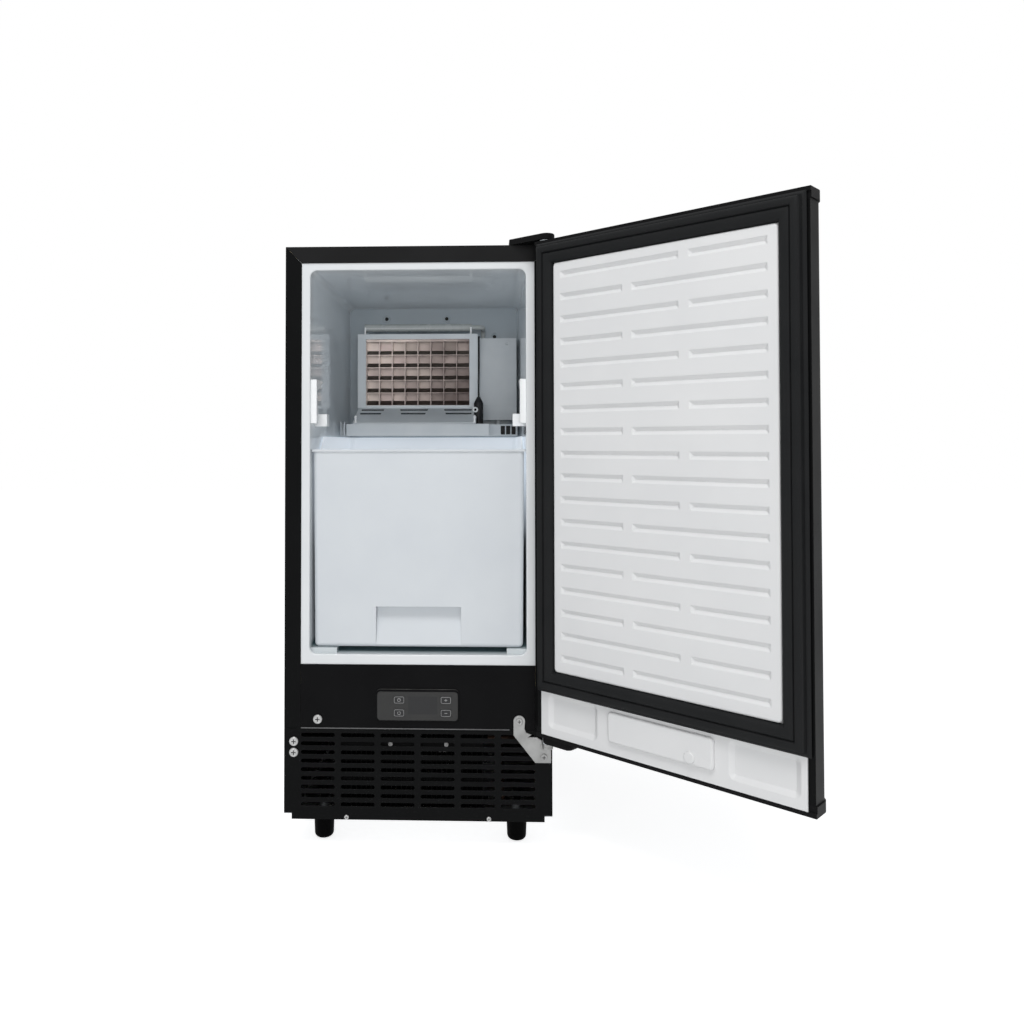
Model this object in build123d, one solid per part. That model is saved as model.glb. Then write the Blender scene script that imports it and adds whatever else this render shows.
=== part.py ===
from build123d import *
import os

# Under-counter ice maker, standing on four levelling legs with its door open.
# Millimetres, +Z up, front towards -Y. The origin is on the floor, at the centre of the legs.
# Values named *_in are depths behind the cabinet's front plane, and those named *_fore are distances
# in front of the cavity's back wall.

# Cabinet
cab_width = 380.0
cab_depth = 440.0
cab_height = 858.0
sheet = 1.0
stile_width = 23.4
head_width = 23.8
mitre_gap = 0.4
seam = 0.6
side_bottom = 52.0
pan_bottom = 43.2
pan_sheet = 1.5
pan_inset = 11.0
pan_lip = 18.0
grille_top = 170.6
grille_sheet = 1.2
grille_lip = 11.0
fascia_top = 261.6
fascia_wall = 3.0
running_gap = 0.3
pin_clearance = 0.05
press_clearance = 0.02
cut_margin = 1.0

# Grille slots
slot_columns = 6
slot_rows = 9
slot_bar = 8.3
slot_height = 5.8
slot_margin = 39.8
slot_pitch_z = 12.15
slot_first_drop = 8.9

# Cavity and liner
flange_show = 12.1
flange_head = 10.2
flange_foot = 13.9
flange_lap = 8.0
flange_wall = 2.0
back_insulation = 83.0
cavity_corner = 10.0
cavity_back_corner = 3.0
liner_wall = 2.0
lip_round = 1.6
rail_widths = (38.0, 28.0)
rail_height = 7.2
rail_in = 10.0
foam_under = 41.5

# Ice bin
bin_in = 12.0
bin_back_gap = 22.0
bin_side_gap = 2.0
bin_draft = 2.5
bin_wall = 2.5
bin_corner = 12.0
bin_front_corner = 6.5
bin_foot_round = 6.0
bin_inner_round = 4.0
bin_headroom = 2.0
bin_step = 19.0
bin_step_in = 66.0
bin_step_run = 24.0
bin_lip = 2.0
bin_lip_proud = 1.5
bin_lip_height = 3.6
pull_width = 122.0
pull_height = 57.8
pull_depth = 18.0

# Keepers on the side walls
keeper_in = 6.0
keeper_height = 63.0
keeper_thick = 8.5
keeper_drop = 156.5
keeper_tip = 47.0
keeper_tip_edge = 1.5
keeper_hook = 16.5
keeper_stem = 5.0
keeper_block = 13.0
keeper_block_drop = 32.0
keeper_arm = 3.0
keeper_foot = 18.0
keeper_foot_in = 29.4
keeper_foot_drop = 4.0

# Evaporator
cell_columns = 8
cell_rows = 5
fin = 1.4
cell_back = 1.6
cell_pitch = 22.3
cell_draft = 8.5
cell_rise = 2.5
grid_fore = 65.0
grid_depth = 20.0
grid_height = 116.8
frame_fore = 71.0
frame_depth = 28.0
frame_border_x = 14.5
frame_border_top = 8.9
frame_border_foot = 5.0
frame_drop = 56.2
frame_side_gap = 25.0
frame_arm = 4.0
arm_foot = 30.0
arm_head = 20.0
frame_cover_gap = 2.5
coil_rows = 6
coil_radius = 4.0
coil_span = 98.0
coil_bend = 9.6
coil_side_gap = 14.0
coil_tail_step = 16.0

# Water side
tube_radius = 6.5
tube_fore = 55.0
tube_rise = 13.0
tube_end = 10.5
tube_hole = 1.2
tube_lug = 3.0
tube_bore_wall = 3.2
slide_lift = 0.3
slide_fore = 139.0
slide_seat = 5.0
slide_wall = 2.0
slide_end = 2.0
slide_groups = ((0.03, 0.23, 0, 1), (0.35, 0.60, 1, 1), (0.72, 0.96, 1, 0))
slide_rows = ((0.11, 0.21), (0.36, 0.46))
slide_lean = 12.0
trough_fore = 142.0
trough_drop = 29.2
trough_height = 20.0
trough_wall = 2.0
trough_left_gap = 17.0
trough_back_rise = 18.0
guard_slots = 3
guard_slot = 7.2
guard_pitch = 9.2
guard_edge = 1.0
guard_sill = 2.5
guard_depth = 12.0
ear_reach = 12.0
ear_in = 10.0
ear_rise = 4.0
sump_fore = 95.0
sump_gap = 4.0
cover_fore = 37.0
cover_width = 66.5
cover_height = 147.0
cover_side_gap = 3.5
cover_drop = 60.3
cover_wall = 2.0
cover_steps = ((26.6, 1.0), (12.6, 2.0))
cover_screw_edge = 16.8
cover_screw_drop = 9.0
pump_radius = 14.0
pump_length = 70.0
volute_radius = 15.5
volute_height = 16.0
pump_drop = 18.0
pump_foot = 12.0
pump_foot_rise = 20.0
pump_foot_height = 20.0
outlet_reach = 4.0
suction_radius = 5.0
suction_gap = 4.0
hose_radius = 4.0
hose_turn = 7.0
hose_bends = (6.5, 10.0, 8.0)
sensor_radius = 8.0
sensor_height = 46.0
sensor_fore = 105.0
sensor_lift = 1.0
sensor_tip = 2.6
sensor_cone = 10.5
sensor_arm = 4.0
sensor_arm_height = 14.0
lead_radius = 1.6
lead_rise = 12.0
lead_climb = 44.0
lead_end = 4.0
lead_bend = 8.0

# Door
door_gap = 12.0
door_thick = 36.0
door_top_drop = 3.0
door_foot_gap = 3.4
door_round = 13.0
door_open = 138.1
pivot_edge = 8.0
pivot_out = 26.0
skin = 1.0
skin_return = 10.0
cap_height = 12.0
cap_proud = 1.5
cap_lip = 5.0
door_liner_wall = 2.0
door_liner_edge = 8.0
gasket_width = 29.0
gasket_edge = 4.0
gasket_top = 5.5
gasket_foot = 64.8
gasket_base = 4.0
gasket_inset = 4.0
gasket_round = 2.0
gasket_crown = 1.8
panel_gap = 0.5
panel_rise = 5.0
panel_corner = 5.0
groove_rows = 18
groove_pitch = 30.24
groove_height = 9.6
groove_depth = 3.4
groove_first_drop = 18.0
groove_floor = 0.9
groove_hinge_margin = 13.0
groove_free_margin = 12.4
groove_long = 177.5
groove_short = 98.0
recess_height = 46.0
recess_depth = 4.0
recess_drop = 3.0
recess_run = 6.4
recess_corner = 8.0
recess_hinge = (20.0, 100.0)
recess_free = (281.0, 365.0)
pad_span = (118.0, 264.0)
pad_height = 38.0
pad_drop = 5.8
pad_rise = 5.0
pad_corner = 5.0
knob_radius = 7.0
knob_rise = 2.0
knob_edge = 30.0
knob_lift = 9.0
stop_length = 50.0
stop_height = 11.5
stop_width = 26.0
stop_edge = 2.0
stop_corner = 9.0
stop_round = 4.0
bush_radius = 7.0
bush_flange = 9.0
handle_radius = 7.0
handle_post = 5.0
handle_stud = 2.5
handle_stud_length = 6.0
handle_length = 370.0
handle_standoff = 32.0
handle_edge = 40.0
handle_post_inset = 35.0

# Hinges and screws
bracket_sheet = 2.5
bracket_boss = 8.0
bracket_drop = 19.4
bracket_toe = 30.4
bracket_edge = 2.0
bracket_steps = ((32.4, 4.0), (19.6, 4.0), (25.0, 7.6), (17.3, 10.5), (15.2, 16.0))
leaf_top = 158.0
leaf_width = 14.8
pin_radius = 4.0
pin_reach = 11.0
pin_head = (6.0, 1.5)
collar_radius = 7.0
hinge_sheet = 3.0
hinge_width = 52.0
hinge_depth = 42.0
hinge_edge = 5.0
hinge_set = 2.0
hinge_nose = 9.5
cover_shell = 2.0
cover_headroom = 5.5
big_screw = (6.4, 2.4, 2.2, 7.0)
mid_screw = (5.0, 2.2, 2.0, 7.0)
small_screw = (3.2, 1.6, 1.5, 5.0)
lid_screw_points = ((26.0, 12.0), (26.0, 34.0), (44.0, 34.0))
wall_screw_points = ((-62.75, 19.6), (47.95, 19.6), (135.75, 53.2))
screw_inner_edge = 46.4
screw_outer_edge = 11.8
blank_inner_edge = 47.9
blank_outer_edge = 13.8
screw_rise = 13.5
bracket_drops = (20.4, 35.9)
blank_drops = (18.0, 33.5)
foot_screw_edge = 89.3
foot_screw_rise = 3.6
rear_screw_edge = 12.0
rear_screw_end = 20.0
strap_screw_x = 40.0

# Control panel
lens_width = 114.6
lens_height = 40.5
lens_corner = 5.0
lens_wall = 1.5
lens_drop = 57.35
bezel_rise = 2.2
bezel_side = 1.5
bezel_head = 3.0
bezel_foot = 1.0
window_width = 104.0
window_height = 36.0
key_width = 15.0
key_height = 10.3
key_corner = 1.5
key_travel = 0.5
key_proud = 0.3
key_flange = 1.3
key_flange_thick = 0.8
key_left = -26.0
key_right = 40.3
key_up = 8.5
key_down = -9.7
key_plunger = 2.0
key_plunger_gap = 0.1
board_in = 6.5
board_wall = 1.6
board_width = 112.0
board_height = 42.0
board_post = 2.5
board_post_inset = 3.0
switch_height = 1.5
switch_width = 6.0
display_width = 40.0
display_height = 24.0
display_in = 1.5
relay_box = (-40.0, 20.0, 18.0, 14.0)
transformer_box = (27.0, 34.0, 24.0, 18.0)

# Legs
leg_side = 49.0
leg_end = 47.0
leg_radius = 15.2
leg_foot_radius = 13.6
leg_round = 6.5
leg_seat = 0.2
stud_radius = 5.0
stud_length = 38.0
nut_radius = 9.0
nut_height = 12.0

# Machine compartment
cond_left = 60.0
cond_right_gap = 88.0
cond_in = 16.0
cond_depth = 40.0
cond_height = 120.0
cond_fins = 28
fin_sheet = 0.8
fin_edge = 4.0
fin_end = 6.0
cond_tube = 4.0
cond_tube_in = 12.0
cond_tube_out = 8.0
cond_tube_rows = 4
plate_wall = 1.5
strap_height = 12.0
strap_drop = 4.4
strap_tie = 2.0
fan_height = 62.0
fan_ring = 56.0
fan_tip_gap = 3.0
fan_blades = 5
fan_hub = 15.0
fan_hub_depth = 14.0
fan_pitch = 32.0
blade_root = 4.0
blade_sheet = 1.6
blade_chord = 26.0
shaft_radius = 3.0
shaft_length = 20.0
shroud_depth = 22.0
motor_radius = 28.0
motor_length = 40.0
motor_gap = 2.0
motor_foot = 40.0
motor_foot_in = 8.0
bore_spare = 2.0
comp_side = 93.5
comp_from_back = 205.0
comp_radius = 58.0
comp_height = 132.0
comp_plate = (150.0, 110.0, 3.0)
comp_crown = 26.0
comp_heel = 16.0
terminal_box = (30.0, 44.0, 40.0)
terminal_rise = 72.6
terminal_set = 12.0
port_reach = 8.0
suction_rise = 87.0
discharge_rise = 47.5
discharge_side = 29.0
mount_radius = 11.0
mount_height = 16.0
mount_hole = 4.0
mount_inset = 13.0
line_radius = 4.0
thin_line_radius = 3.0
line_turn = 10.0
tight_bend = 8.0
mid_bend = 12.0
wide_bend = 20.0
discharge_out = 40.0
liquid_out = 22.0
liquid_run = 60.0
duct_in = 9.0
duct_size = (44.0, 28.0)
drier_radius = 9.0
drier_height = 90.0
drier_drop = 40.0
drain_edge = 100.0
drain_fore = 57.0
drain_radius = 9.0
drain_bore = 7.0
drain_flange = 15.0
drain_flange_thick = 1.5
spout_reach = 8.0
drain_height = 75.0
drain_stub = 25.0
drain_bend = 40.0
drain_collar = (13.0, 3.0)
inlet_edge = 60.0
inlet_height = 130.0
inlet_radius = 13.2
inlet_length = 14.0
inlet_collar = (17.0, 3.0)
inlet_flange = (44.0, 4.0)
inlet_wall = 3.5
valve_body = (24.0, 36.0)
solenoid = (13.0, 32.0)
solenoid_in = 26.0
gland_edge = 60.0
gland_height = 85.0
gland_radius = 9.8
gland_bore = 4.5
gland_flange = (14.0, 3.5)
gland_depth = 12.0
vent_rows = 7
vent_length = 90.0
vent_height = 5.0
vent_pitch = 16.0

# Planes and places worked out from the sizes above
half = cab_width / 2
front = -cab_depth / 2
back = cab_depth / 2
top = cab_height
frame_half = half - stile_width
slot_pitch_x = (cab_width - slot_margin) / slot_columns
slot_length = slot_pitch_x - slot_bar
pan_half = half - pan_inset
pan_floor = pan_bottom + pan_sheet
cavity_half = frame_half - flange_show
cavity_top = top - head_width - flange_head
cavity_floor = fascia_top + flange_foot
cavity_back = back - back_insulation
foam_bottom = cavity_floor - liner_wall - foam_under
rail_top = cavity_floor + rail_height

cover_right = cavity_half - cover_side_gap
cover_left = cover_right - cover_width
cover_top = cavity_top - cover_drop
cover_bottom = cover_top - cover_height
frame_right = cover_left - frame_cover_gap
frame_left = -cavity_half + frame_side_gap
frame_mid = (frame_left + frame_right) / 2
frame_top = cavity_top - frame_drop
grid_top = frame_top - frame_border_top
grid_bottom = grid_top - grid_height
grid_mid = (grid_top + grid_bottom) / 2
grid_width = frame_right - frame_left - 2 * frame_border_x
grid_rear = cavity_back - grid_fore + grid_depth
frame_bottom = grid_bottom - frame_border_foot
trough_top = frame_bottom - trough_drop
trough_bottom = trough_top - trough_height
trough_left = -cavity_half + trough_left_gap
trough_right = cover_left + trough_left_gap

bin_floor = rail_top + running_gap
bin_back_top = trough_bottom - bin_headroom
bin_front_top = bin_back_top - bin_step
bin_half = cavity_half - bin_side_gap
bin_length = cavity_back - bin_back_gap - front - bin_in

lens_mid = fascia_top - lens_drop
leg_x = half - leg_side
leg_y = cab_depth / 2 - leg_end

door_plane = front - door_gap
door_face = door_plane - door_thick
door_top = top - door_top_drop
door_bottom = grille_top + door_foot_gap
pivot_x = half - pivot_edge
pivot_y = front - pivot_out
pivot = Axis((pivot_x, pivot_y, 0), (0, 0, 1))
gasket_outer = half - gasket_edge
gasket_high = door_top - gasket_top
gasket_low = door_bottom + gasket_foot

screw_top = grille_top + screw_rise
screw_inner = half - screw_inner_edge
screw_outer = half - screw_outer_edge
screw_low = grille_top - bracket_drops[1]
foot_screw_x = half - foot_screw_edge

cond_width = 2 * pan_half - cond_left - cond_right_gap
fan_x = -pan_half + cond_left + cond_width / 2
fan_z = pan_floor + fan_height
drain_x = half - drain_edge
inlet_x = half - inlet_edge
gland_x = -half + gland_edge
fan_front = front + cond_in + cond_depth + 2 * plate_wall
comp_y = back - comp_from_back
duct_x = frame_right - frame_border_x - coil_side_gap
comp_x = duct_x - comp_side
duct_y = cavity_back + liner_wall + duct_in + duct_size[1] / 2


def block(x0, x1, y0, y1, z0, z1):
    """Box between two opposite corners."""
    centre = Pos((x0 + x1) / 2, (y0 + y1) / 2, (z0 + z1) / 2)
    return centre * Box(x1 - x0, y1 - y0, z1 - z0)


def rod_z(x, y, z0, z1, radius):
    """Upright cylinder."""
    return Pos(x, y, (z0 + z1) / 2) * Cylinder(radius, z1 - z0)


def rod_y(x, z, y0, y1, radius):
    """Cylinder that runs from front to back."""
    return Pos(x, (y0 + y1) / 2, z) * Rot(90, 0, 0) * Cylinder(radius, y1 - y0)


def rod_x(y, z, x0, x1, radius):
    """Cylinder that runs from side to side."""
    return Pos((x0 + x1) / 2, y, z) * Rot(0, 90, 0) * Cylinder(radius, x1 - x0)


def slab_y(outline, y0, y1):
    """Outline drawn in X and Z, as a plate between two depths."""
    return extrude(Plane.XZ.offset(-y1) * outline, amount=y1 - y0, dir=(0, -1, 0))


def slab_x(outline, x0, x1):
    """Outline drawn in Y and Z, as a plate between two sides."""
    return extrude(Plane.YZ.offset(x0) * outline, amount=x1 - x0, dir=(1, 0, 0))


def slab_z(outline, z0, z1):
    """Outline drawn in X and Y, as a plate between two heights."""
    return extrude(Pos(0, 0, z0) * outline, amount=z1 - z0, dir=(0, 0, 1))


def shape_of(*points):
    """Flat outline through the given corners."""
    return Polygon(*points, align=None)


def panel_of(x0, x1, z0, z1, corner):
    """Rounded rectangle drawn in X and Z."""
    return Pos((x0 + x1) / 2, (z0 + z1) / 2) * RectangleRounded(x1 - x0, z1 - z0, corner)


def pipe(points, radius, bend):
    """Round pipe along straight runs joined by tangent arcs."""
    path = FilletPolyline(*points, radius=bend)
    return sweep(Plane(path @ 0, z_dir=path % 0) * Circle(radius), path=path)


def screw(size):
    """Pan-head screw with a cross recess, seated at the origin with its head upwards."""
    head_radius, head_height, shank_radius, shank_length = size
    head = fillet(Cylinder(head_radius, head_height).edges().sort_by(Axis.Z)[-1], head_height * 0.6)
    head = Pos(0, 0, head_height / 2) * head
    for turn in (0, 90):
        head -= Pos(0, 0, head_height) * Rot(0, 0, turn) * Box(head_radius, head_radius / 5, head_height)
    return head + Pos(0, 0, -shank_length / 2) * Cylinder(shank_radius, shank_length)


def screw_hole(size):
    """Clearance hole for a screw's shank."""
    return Pos(0, 0, -size[3] / 2) * Cylinder(size[2] + press_clearance, size[3] + running_gap)


def on_front(x, z, out):
    """Place on the front of the machine, facing forwards, at a distance in front of its plane."""
    return Pos(x, front - out, z) * Rot(90, 0, 0)


def on_back(x, z):
    """Place on the rear panel, facing backwards."""
    return Pos(x, back, z) * Rot(-90, 0, 0)


# Places of the screws, each with its size

bracket_screws = [
    (on_front(screw_inner, screw_top, bracket_sheet), mid_screw),
    *[(on_front(screw_outer, grille_top - drop, bracket_sheet), mid_screw) for drop in bracket_drops],
]
blank_screws = [
    (on_front(blank_inner_edge - half, screw_top, 0), big_screw),
    *[(on_front(blank_outer_edge - half, grille_top - drop, 0), big_screw) for drop in blank_drops],
]
lid_screws = [
    (Pos(half - x, front + y, top + hinge_sheet), mid_screw) for x, y in lid_screw_points
]
foot_screws = [
    (on_front(x, pan_bottom + foot_screw_rise, 0), small_screw) for x in (-foot_screw_x, foot_screw_x)
]
rear_screws = [
    (on_back(side * (half - rear_screw_edge), z), small_screw)
    for side in (-1, 1)
    for z in (side_bottom + rear_screw_end, foam_bottom, (foam_bottom + top) / 2, top - rear_screw_end)
]
strap_z = grille_top - slot_first_drop - slot_pitch_z - strap_drop
strap_front = front + cond_in - plate_wall
strap_screws = [
    (Pos(x, strap_front, strap_z) * Rot(90, 0, 0), small_screw) for x in (-strap_screw_x, strap_screw_x)
]
wall_screws = [
    (Pos(frame_mid + x, cavity_back, cavity_top - drop) * Rot(90, 0, 0), small_screw)
    for x, drop in wall_screw_points
]
cover_screw_place = Pos(
    cover_right - cover_screw_edge, cavity_back - cover_fore, cover_top - cover_screw_drop
)
cover_screw = (cover_screw_place * Rot(90, 0, 0), small_screw)


def drill(part, screws):
    """Cut the shank holes of a set of screws."""
    for place, size in screws:
        part -= place * screw_hole(size)
    return part


def screw_set(screws):
    """Separate solids of a set of screws."""
    return Compound([place * screw(size) for place, size in screws])


# Cabinet

def side_panel():
    """Right side panel with its front edge folded in as a mitred stile."""
    stile = shape_of(
        (half, top - mitre_gap),
        (half, grille_top + seam),
        (frame_half, grille_top + seam),
        (frame_half, top - head_width - mitre_gap),
    )
    panel = block(half - sheet, half, front + grille_sheet, back, side_bottom, top - sheet)
    panel += block(half - sheet, half, front, front + sheet + grille_sheet,
                   grille_top + seam, top - head_width)
    return panel + slab_y(stile, front, front + sheet)


def top_panel():
    """Top panel with its front edge folded down as the mitred head of the face frame."""
    low = top - head_width
    head = shape_of((-half, top), (half, top), (frame_half, low), (-frame_half, low))
    panel = block(-half, half, front + sheet, back, top - sheet, top)
    return drill(panel + slab_y(head, front, front + sheet), lid_screws)


def rear_panel():
    """Rear panel with air slots and holes for the water inlet, drain and cord gland."""
    panel = block(-half + sheet, half - sheet, back - sheet, back, side_bottom, top - sheet)
    slots = Sketch() + [
        place * SlotOverall(vent_length, vent_height)
        for place in GridLocations(0, vent_pitch, 1, vent_rows)
    ]
    vent_z = (side_bottom + foam_bottom) / 2
    panel -= slab_y(Pos(comp_x + vent_length / 2, vent_z) * slots, back - sheet, back)
    panel -= rod_y(inlet_x, inlet_height, back - sheet, back, inlet_radius + running_gap)
    panel -= rod_y(drain_x, drain_height, back - sheet, back, drain_radius + running_gap)
    panel -= rod_y(gland_x, gland_height, back - sheet, back, gland_radius + press_clearance)
    return drill(panel, rear_screws)


def base_pan():
    """Tray under the machine, with a rim that carries the panels and a nut over each leg."""
    first, last = front + grille_sheet, back - sheet
    pan = block(-pan_half, pan_half, first, last, pan_bottom, side_bottom)
    pan -= block(-pan_half + pan_sheet, pan_half - pan_sheet, first + pan_sheet, last - pan_sheet,
                 pan_floor, side_bottom)
    for side in (-1, 1):
        edges = sorted((side * (pan_half - pan_sheet), side * half))
        pan += block(*edges, first, back, side_bottom - pan_sheet, side_bottom)
    pan += block(-pan_half, pan_half, first, first + pan_sheet, pan_bottom, pan_bottom + pan_lip)
    for x in (-leg_x, leg_x):
        for y in (-leg_y, leg_y):
            pan += rod_z(x, y, pan_floor, pan_floor + nut_height, nut_radius)
            pan -= rod_z(x, y, pan_bottom, pan_floor + nut_height, stud_radius + pin_clearance)
    return drill(pan, foot_screws)


def front_grille():
    """Slotted lower front panel with notched bottom corners."""
    outline = shape_of(
        (-half, grille_top), (half, grille_top), (half, side_bottom), (pan_half, side_bottom),
        (pan_half, pan_bottom), (-pan_half, pan_bottom), (-pan_half, side_bottom), (-half, side_bottom),
    )
    panel = slab_y(outline, front, front + grille_sheet)
    slots = Sketch() + [
        place * SlotOverall(slot_length, slot_height)
        for place in GridLocations(slot_pitch_x, slot_pitch_z, slot_columns, slot_rows)
    ]
    slots_mid = grille_top - slot_first_drop - (slot_rows - 1) / 2 * slot_pitch_z
    panel -= slab_y(Pos(0, slots_mid) * slots, front, front + grille_sheet)
    lip_half = half - sheet - running_gap
    panel += block(-lip_half, lip_half, front, front + grille_lip, grille_top - grille_sheet, grille_top)
    return drill(panel, foot_screws + bracket_screws[1:] + blank_screws[1:])


def cavity_liner():
    """White tub with a front flange and two rails that the bin slides on."""
    face = front + sheet
    outer = slab_y(
        panel_of(-cavity_half - liner_wall, cavity_half + liner_wall, cavity_floor - liner_wall,
                 cavity_top + liner_wall, cavity_corner + liner_wall),
        face, cavity_back + liner_wall)
    outer = fillet(outer.faces().sort_by(Axis.Y)[-1].edges(), cavity_back_corner + liner_wall)
    flange = block(-frame_half - flange_lap, frame_half + flange_lap, face, face + flange_wall,
                   fascia_top, top - head_width + flange_lap)
    hollow = cavity_space()
    liner = outer + flange - hollow
    lip = [edge for edge in liner.faces().sort_by(Axis.Y)[0].inner_wires()[0].edges()]
    liner = fillet(lip, lip_round)
    for side, width in zip((-1, 1), rail_widths):
        edges = sorted((side * cavity_half, side * (cavity_half - width)))
        rail = block(*edges, front + rail_in, front + bin_in + bin_length,
                     cavity_floor - liner_wall / 2, rail_top)
        liner += rail & liner_block()
    liner -= rod_z(drain_x, cavity_back - drain_fore, cavity_floor - liner_wall, cavity_floor,
                   drain_radius + press_clearance)
    for x, z in coil_ends():
        liner -= rod_y(x, z, cavity_back, cavity_back + liner_wall, coil_radius + press_clearance)
    return drill(liner, wall_screws)


def cavity_space():
    """Space inside the liner."""
    space = slab_y(panel_of(-cavity_half, cavity_half, cavity_floor, cavity_top, cavity_corner),
                   front + sheet, cavity_back)
    return fillet(space.faces().sort_by(Axis.Y)[-1].edges(), cavity_back_corner)


def liner_block():
    """Liner and its space as one solid."""
    return slab_y(
        panel_of(-cavity_half - liner_wall, cavity_half + liner_wall, cavity_floor - liner_wall,
                 cavity_top + liner_wall, cavity_corner + liner_wall),
        front + sheet, cavity_back + liner_wall)


def cabinet_foam():
    """Insulation between the liner and the panels, with a duct for the refrigerant lines."""
    foam = block(-half + sheet, half - sheet, front + sheet + flange_wall, back - sheet,
                 foam_bottom, top - sheet)
    foam -= block(-half, half, front, front + fascia_wall, foam_bottom, fascia_top)
    solid = fillet(liner_block().faces().sort_by(Axis.Y)[-1].edges(), cavity_back_corner + liner_wall)
    foam -= solid
    bore = drain_radius + press_clearance
    foam -= rod_z(drain_x, cavity_back - drain_fore, foam_bottom, cavity_floor, bore)
    width, depth = duct_size
    foam -= block(duct_x - width / 2, duct_x + width / 2, duct_y - depth / 2, duct_y + depth / 2,
                  foam_bottom, grid_top)
    for x, z in coil_ends():
        foam -= rod_y(x, z, cavity_back, duct_y, coil_radius + press_clearance)
    return drill(foam, lid_screws + wall_screws + rear_screws)


# Control panel

def key_places():
    """Centres of the four keys, by name."""
    return {
        "key_timer": (key_left, lens_mid + key_up),
        "key_power": (key_left, lens_mid + key_down),
        "key_plus": (key_right, lens_mid + key_up),
        "key_minus": (key_right, lens_mid + key_down),
    }


def control_fascia():
    """Panel between the cavity and the grille, with a raised bezel round the display lens."""
    edge = frame_half - seam / 2
    panel = block(-edge, edge, front, front + fascia_wall, grille_top + seam, fascia_top)
    bezel_half = lens_width / 2 + bezel_side
    bezel = panel_of(-bezel_half, bezel_half, lens_mid - lens_height / 2 - bezel_foot,
                     lens_mid + lens_height / 2 + bezel_head, lens_corner + bezel_side)
    panel += slab_y(bezel, front - bezel_rise, front)
    pocket = Pos(0, lens_mid) * RectangleRounded(lens_width, lens_height, lens_corner)
    panel -= slab_y(pocket, front - bezel_rise, front - bezel_rise + lens_wall)
    window = Pos(0, lens_mid) * Rectangle(window_width, window_height)
    panel -= slab_y(window, front - bezel_rise, front + fascia_wall)
    span_x, span_z = board_width - 2 * board_post_inset, board_height - 2 * board_post_inset
    for place in GridLocations(span_x, span_z, 2, 2):
        x, z = place.position.X, lens_mid + place.position.Y
        panel += rod_y(x, z, front + fascia_wall, front + board_in, board_post)
    return drill(panel, bracket_screws[:1] + blank_screws[:1])


def display_lens():
    """Smoked lens over the display, with an opening for each key."""
    outline = RectangleRounded(lens_width - seam, lens_height - seam, lens_corner - seam / 2)
    lens = slab_y(Pos(0, lens_mid) * outline, front - bezel_rise, front - bezel_rise + lens_wall)
    grow = 2 * running_gap
    hole = RectangleRounded(key_width + grow, key_height + grow, key_corner + running_gap)
    for x, z in key_places().values():
        lens -= slab_y(Pos(x, z) * hole, front - bezel_rise, front - bezel_rise + lens_wall)
    return lens


def key(x, z):
    """Push key with a flange behind the lens and a plunger that reaches its switch."""
    face = front - bezel_rise - key_proud
    lens_back = front - bezel_rise + lens_wall
    outline = RectangleRounded(key_width, key_height, key_corner)
    cap = slab_y(Pos(x, z) * outline, face, lens_back + running_gap)
    flange = RectangleRounded(key_width + 2 * key_flange, key_height + 2 * key_flange, key_corner)
    seat = lens_back + running_gap
    cap += slab_y(Pos(x, z) * flange, seat, seat + key_flange_thick)
    switch_face = front + board_in - switch_height
    return cap + rod_y(x, z, seat, switch_face - key_travel - key_plunger_gap, key_plunger)


def control_board():
    """Circuit board with a display module and a switch behind each key."""
    face = front + board_in
    board = block(-board_width / 2, board_width / 2, face, face + board_wall,
                  lens_mid - board_height / 2, lens_mid + board_height / 2)
    reach = switch_width / 2
    for x, z in key_places().values():
        board += block(x - reach, x + reach, face - switch_height, face, z - reach, z + reach)
    display_mid = (key_left + key_right) / 2
    board += block(display_mid - display_width / 2, display_mid + display_width / 2,
                   front + display_in, face,
                   lens_mid - display_height / 2, lens_mid + display_height / 2)
    for x, width, height, depth in (relay_box, transformer_box):
        board += block(x - width / 2, x + width / 2, face + board_wall, face + board_wall + depth,
                       lens_mid - height / 2, lens_mid + height / 2)
    return board


# Door hinges

def lower_hinge_bracket():
    """Plated bracket on the lower front, with a leaf under the door that holds the hinge pin."""
    boss = bracket_boss
    left, right, foot = screw_inner - boss, half - bracket_edge, screw_low - boss
    plate = shape_of(
        (left, screw_top), (left, screw_top - bracket_drop), (left + bracket_toe, foot), (right, foot),
        (right, leaf_top), (pivot_x - leaf_width / 2, leaf_top),
        *[(left + x, leaf_top + z) for x, z in bracket_steps],
        (screw_inner + boss, screw_top),
    )
    plate += Pos(screw_inner, screw_top) * Circle(boss)
    bracket = slab_y(plate, front - bracket_sheet, front)
    leaf = Pos(pivot_x, (front + pivot_y) / 2) * Rectangle(leaf_width, pivot_out)
    leaf += Pos(pivot_x, pivot_y) * Circle(leaf_width / 2)
    bracket += slab_z(leaf, leaf_top - bracket_sheet, leaf_top)
    bracket -= rod_z(pivot_x, pivot_y, leaf_top - bracket_sheet, leaf_top, pin_radius + press_clearance)
    return drill(bracket, bracket_screws)


def hinge_outline(margin):
    """Upper hinge plate seen from above: wide on the cabinet, narrow at the pin."""
    centre = Pos(half - hinge_edge - hinge_width / 2, front + hinge_set + hinge_depth / 2)
    base = centre * Rectangle(hinge_width, hinge_depth)
    nose = Pos(pivot_x, pivot_y) * Circle(hinge_nose)
    return offset(make_hull(base.edges() + nose.edges()), margin, kind=Kind.ARC)


def upper_hinge_bracket():
    """Steel plate screwed to the top panel, reaching over the door."""
    plate = slab_z(hinge_outline(0), top, top + hinge_sheet)
    plate -= rod_z(pivot_x, pivot_y, top, top + hinge_sheet, pin_radius + press_clearance)
    return drill(plate, lid_screws)


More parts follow.
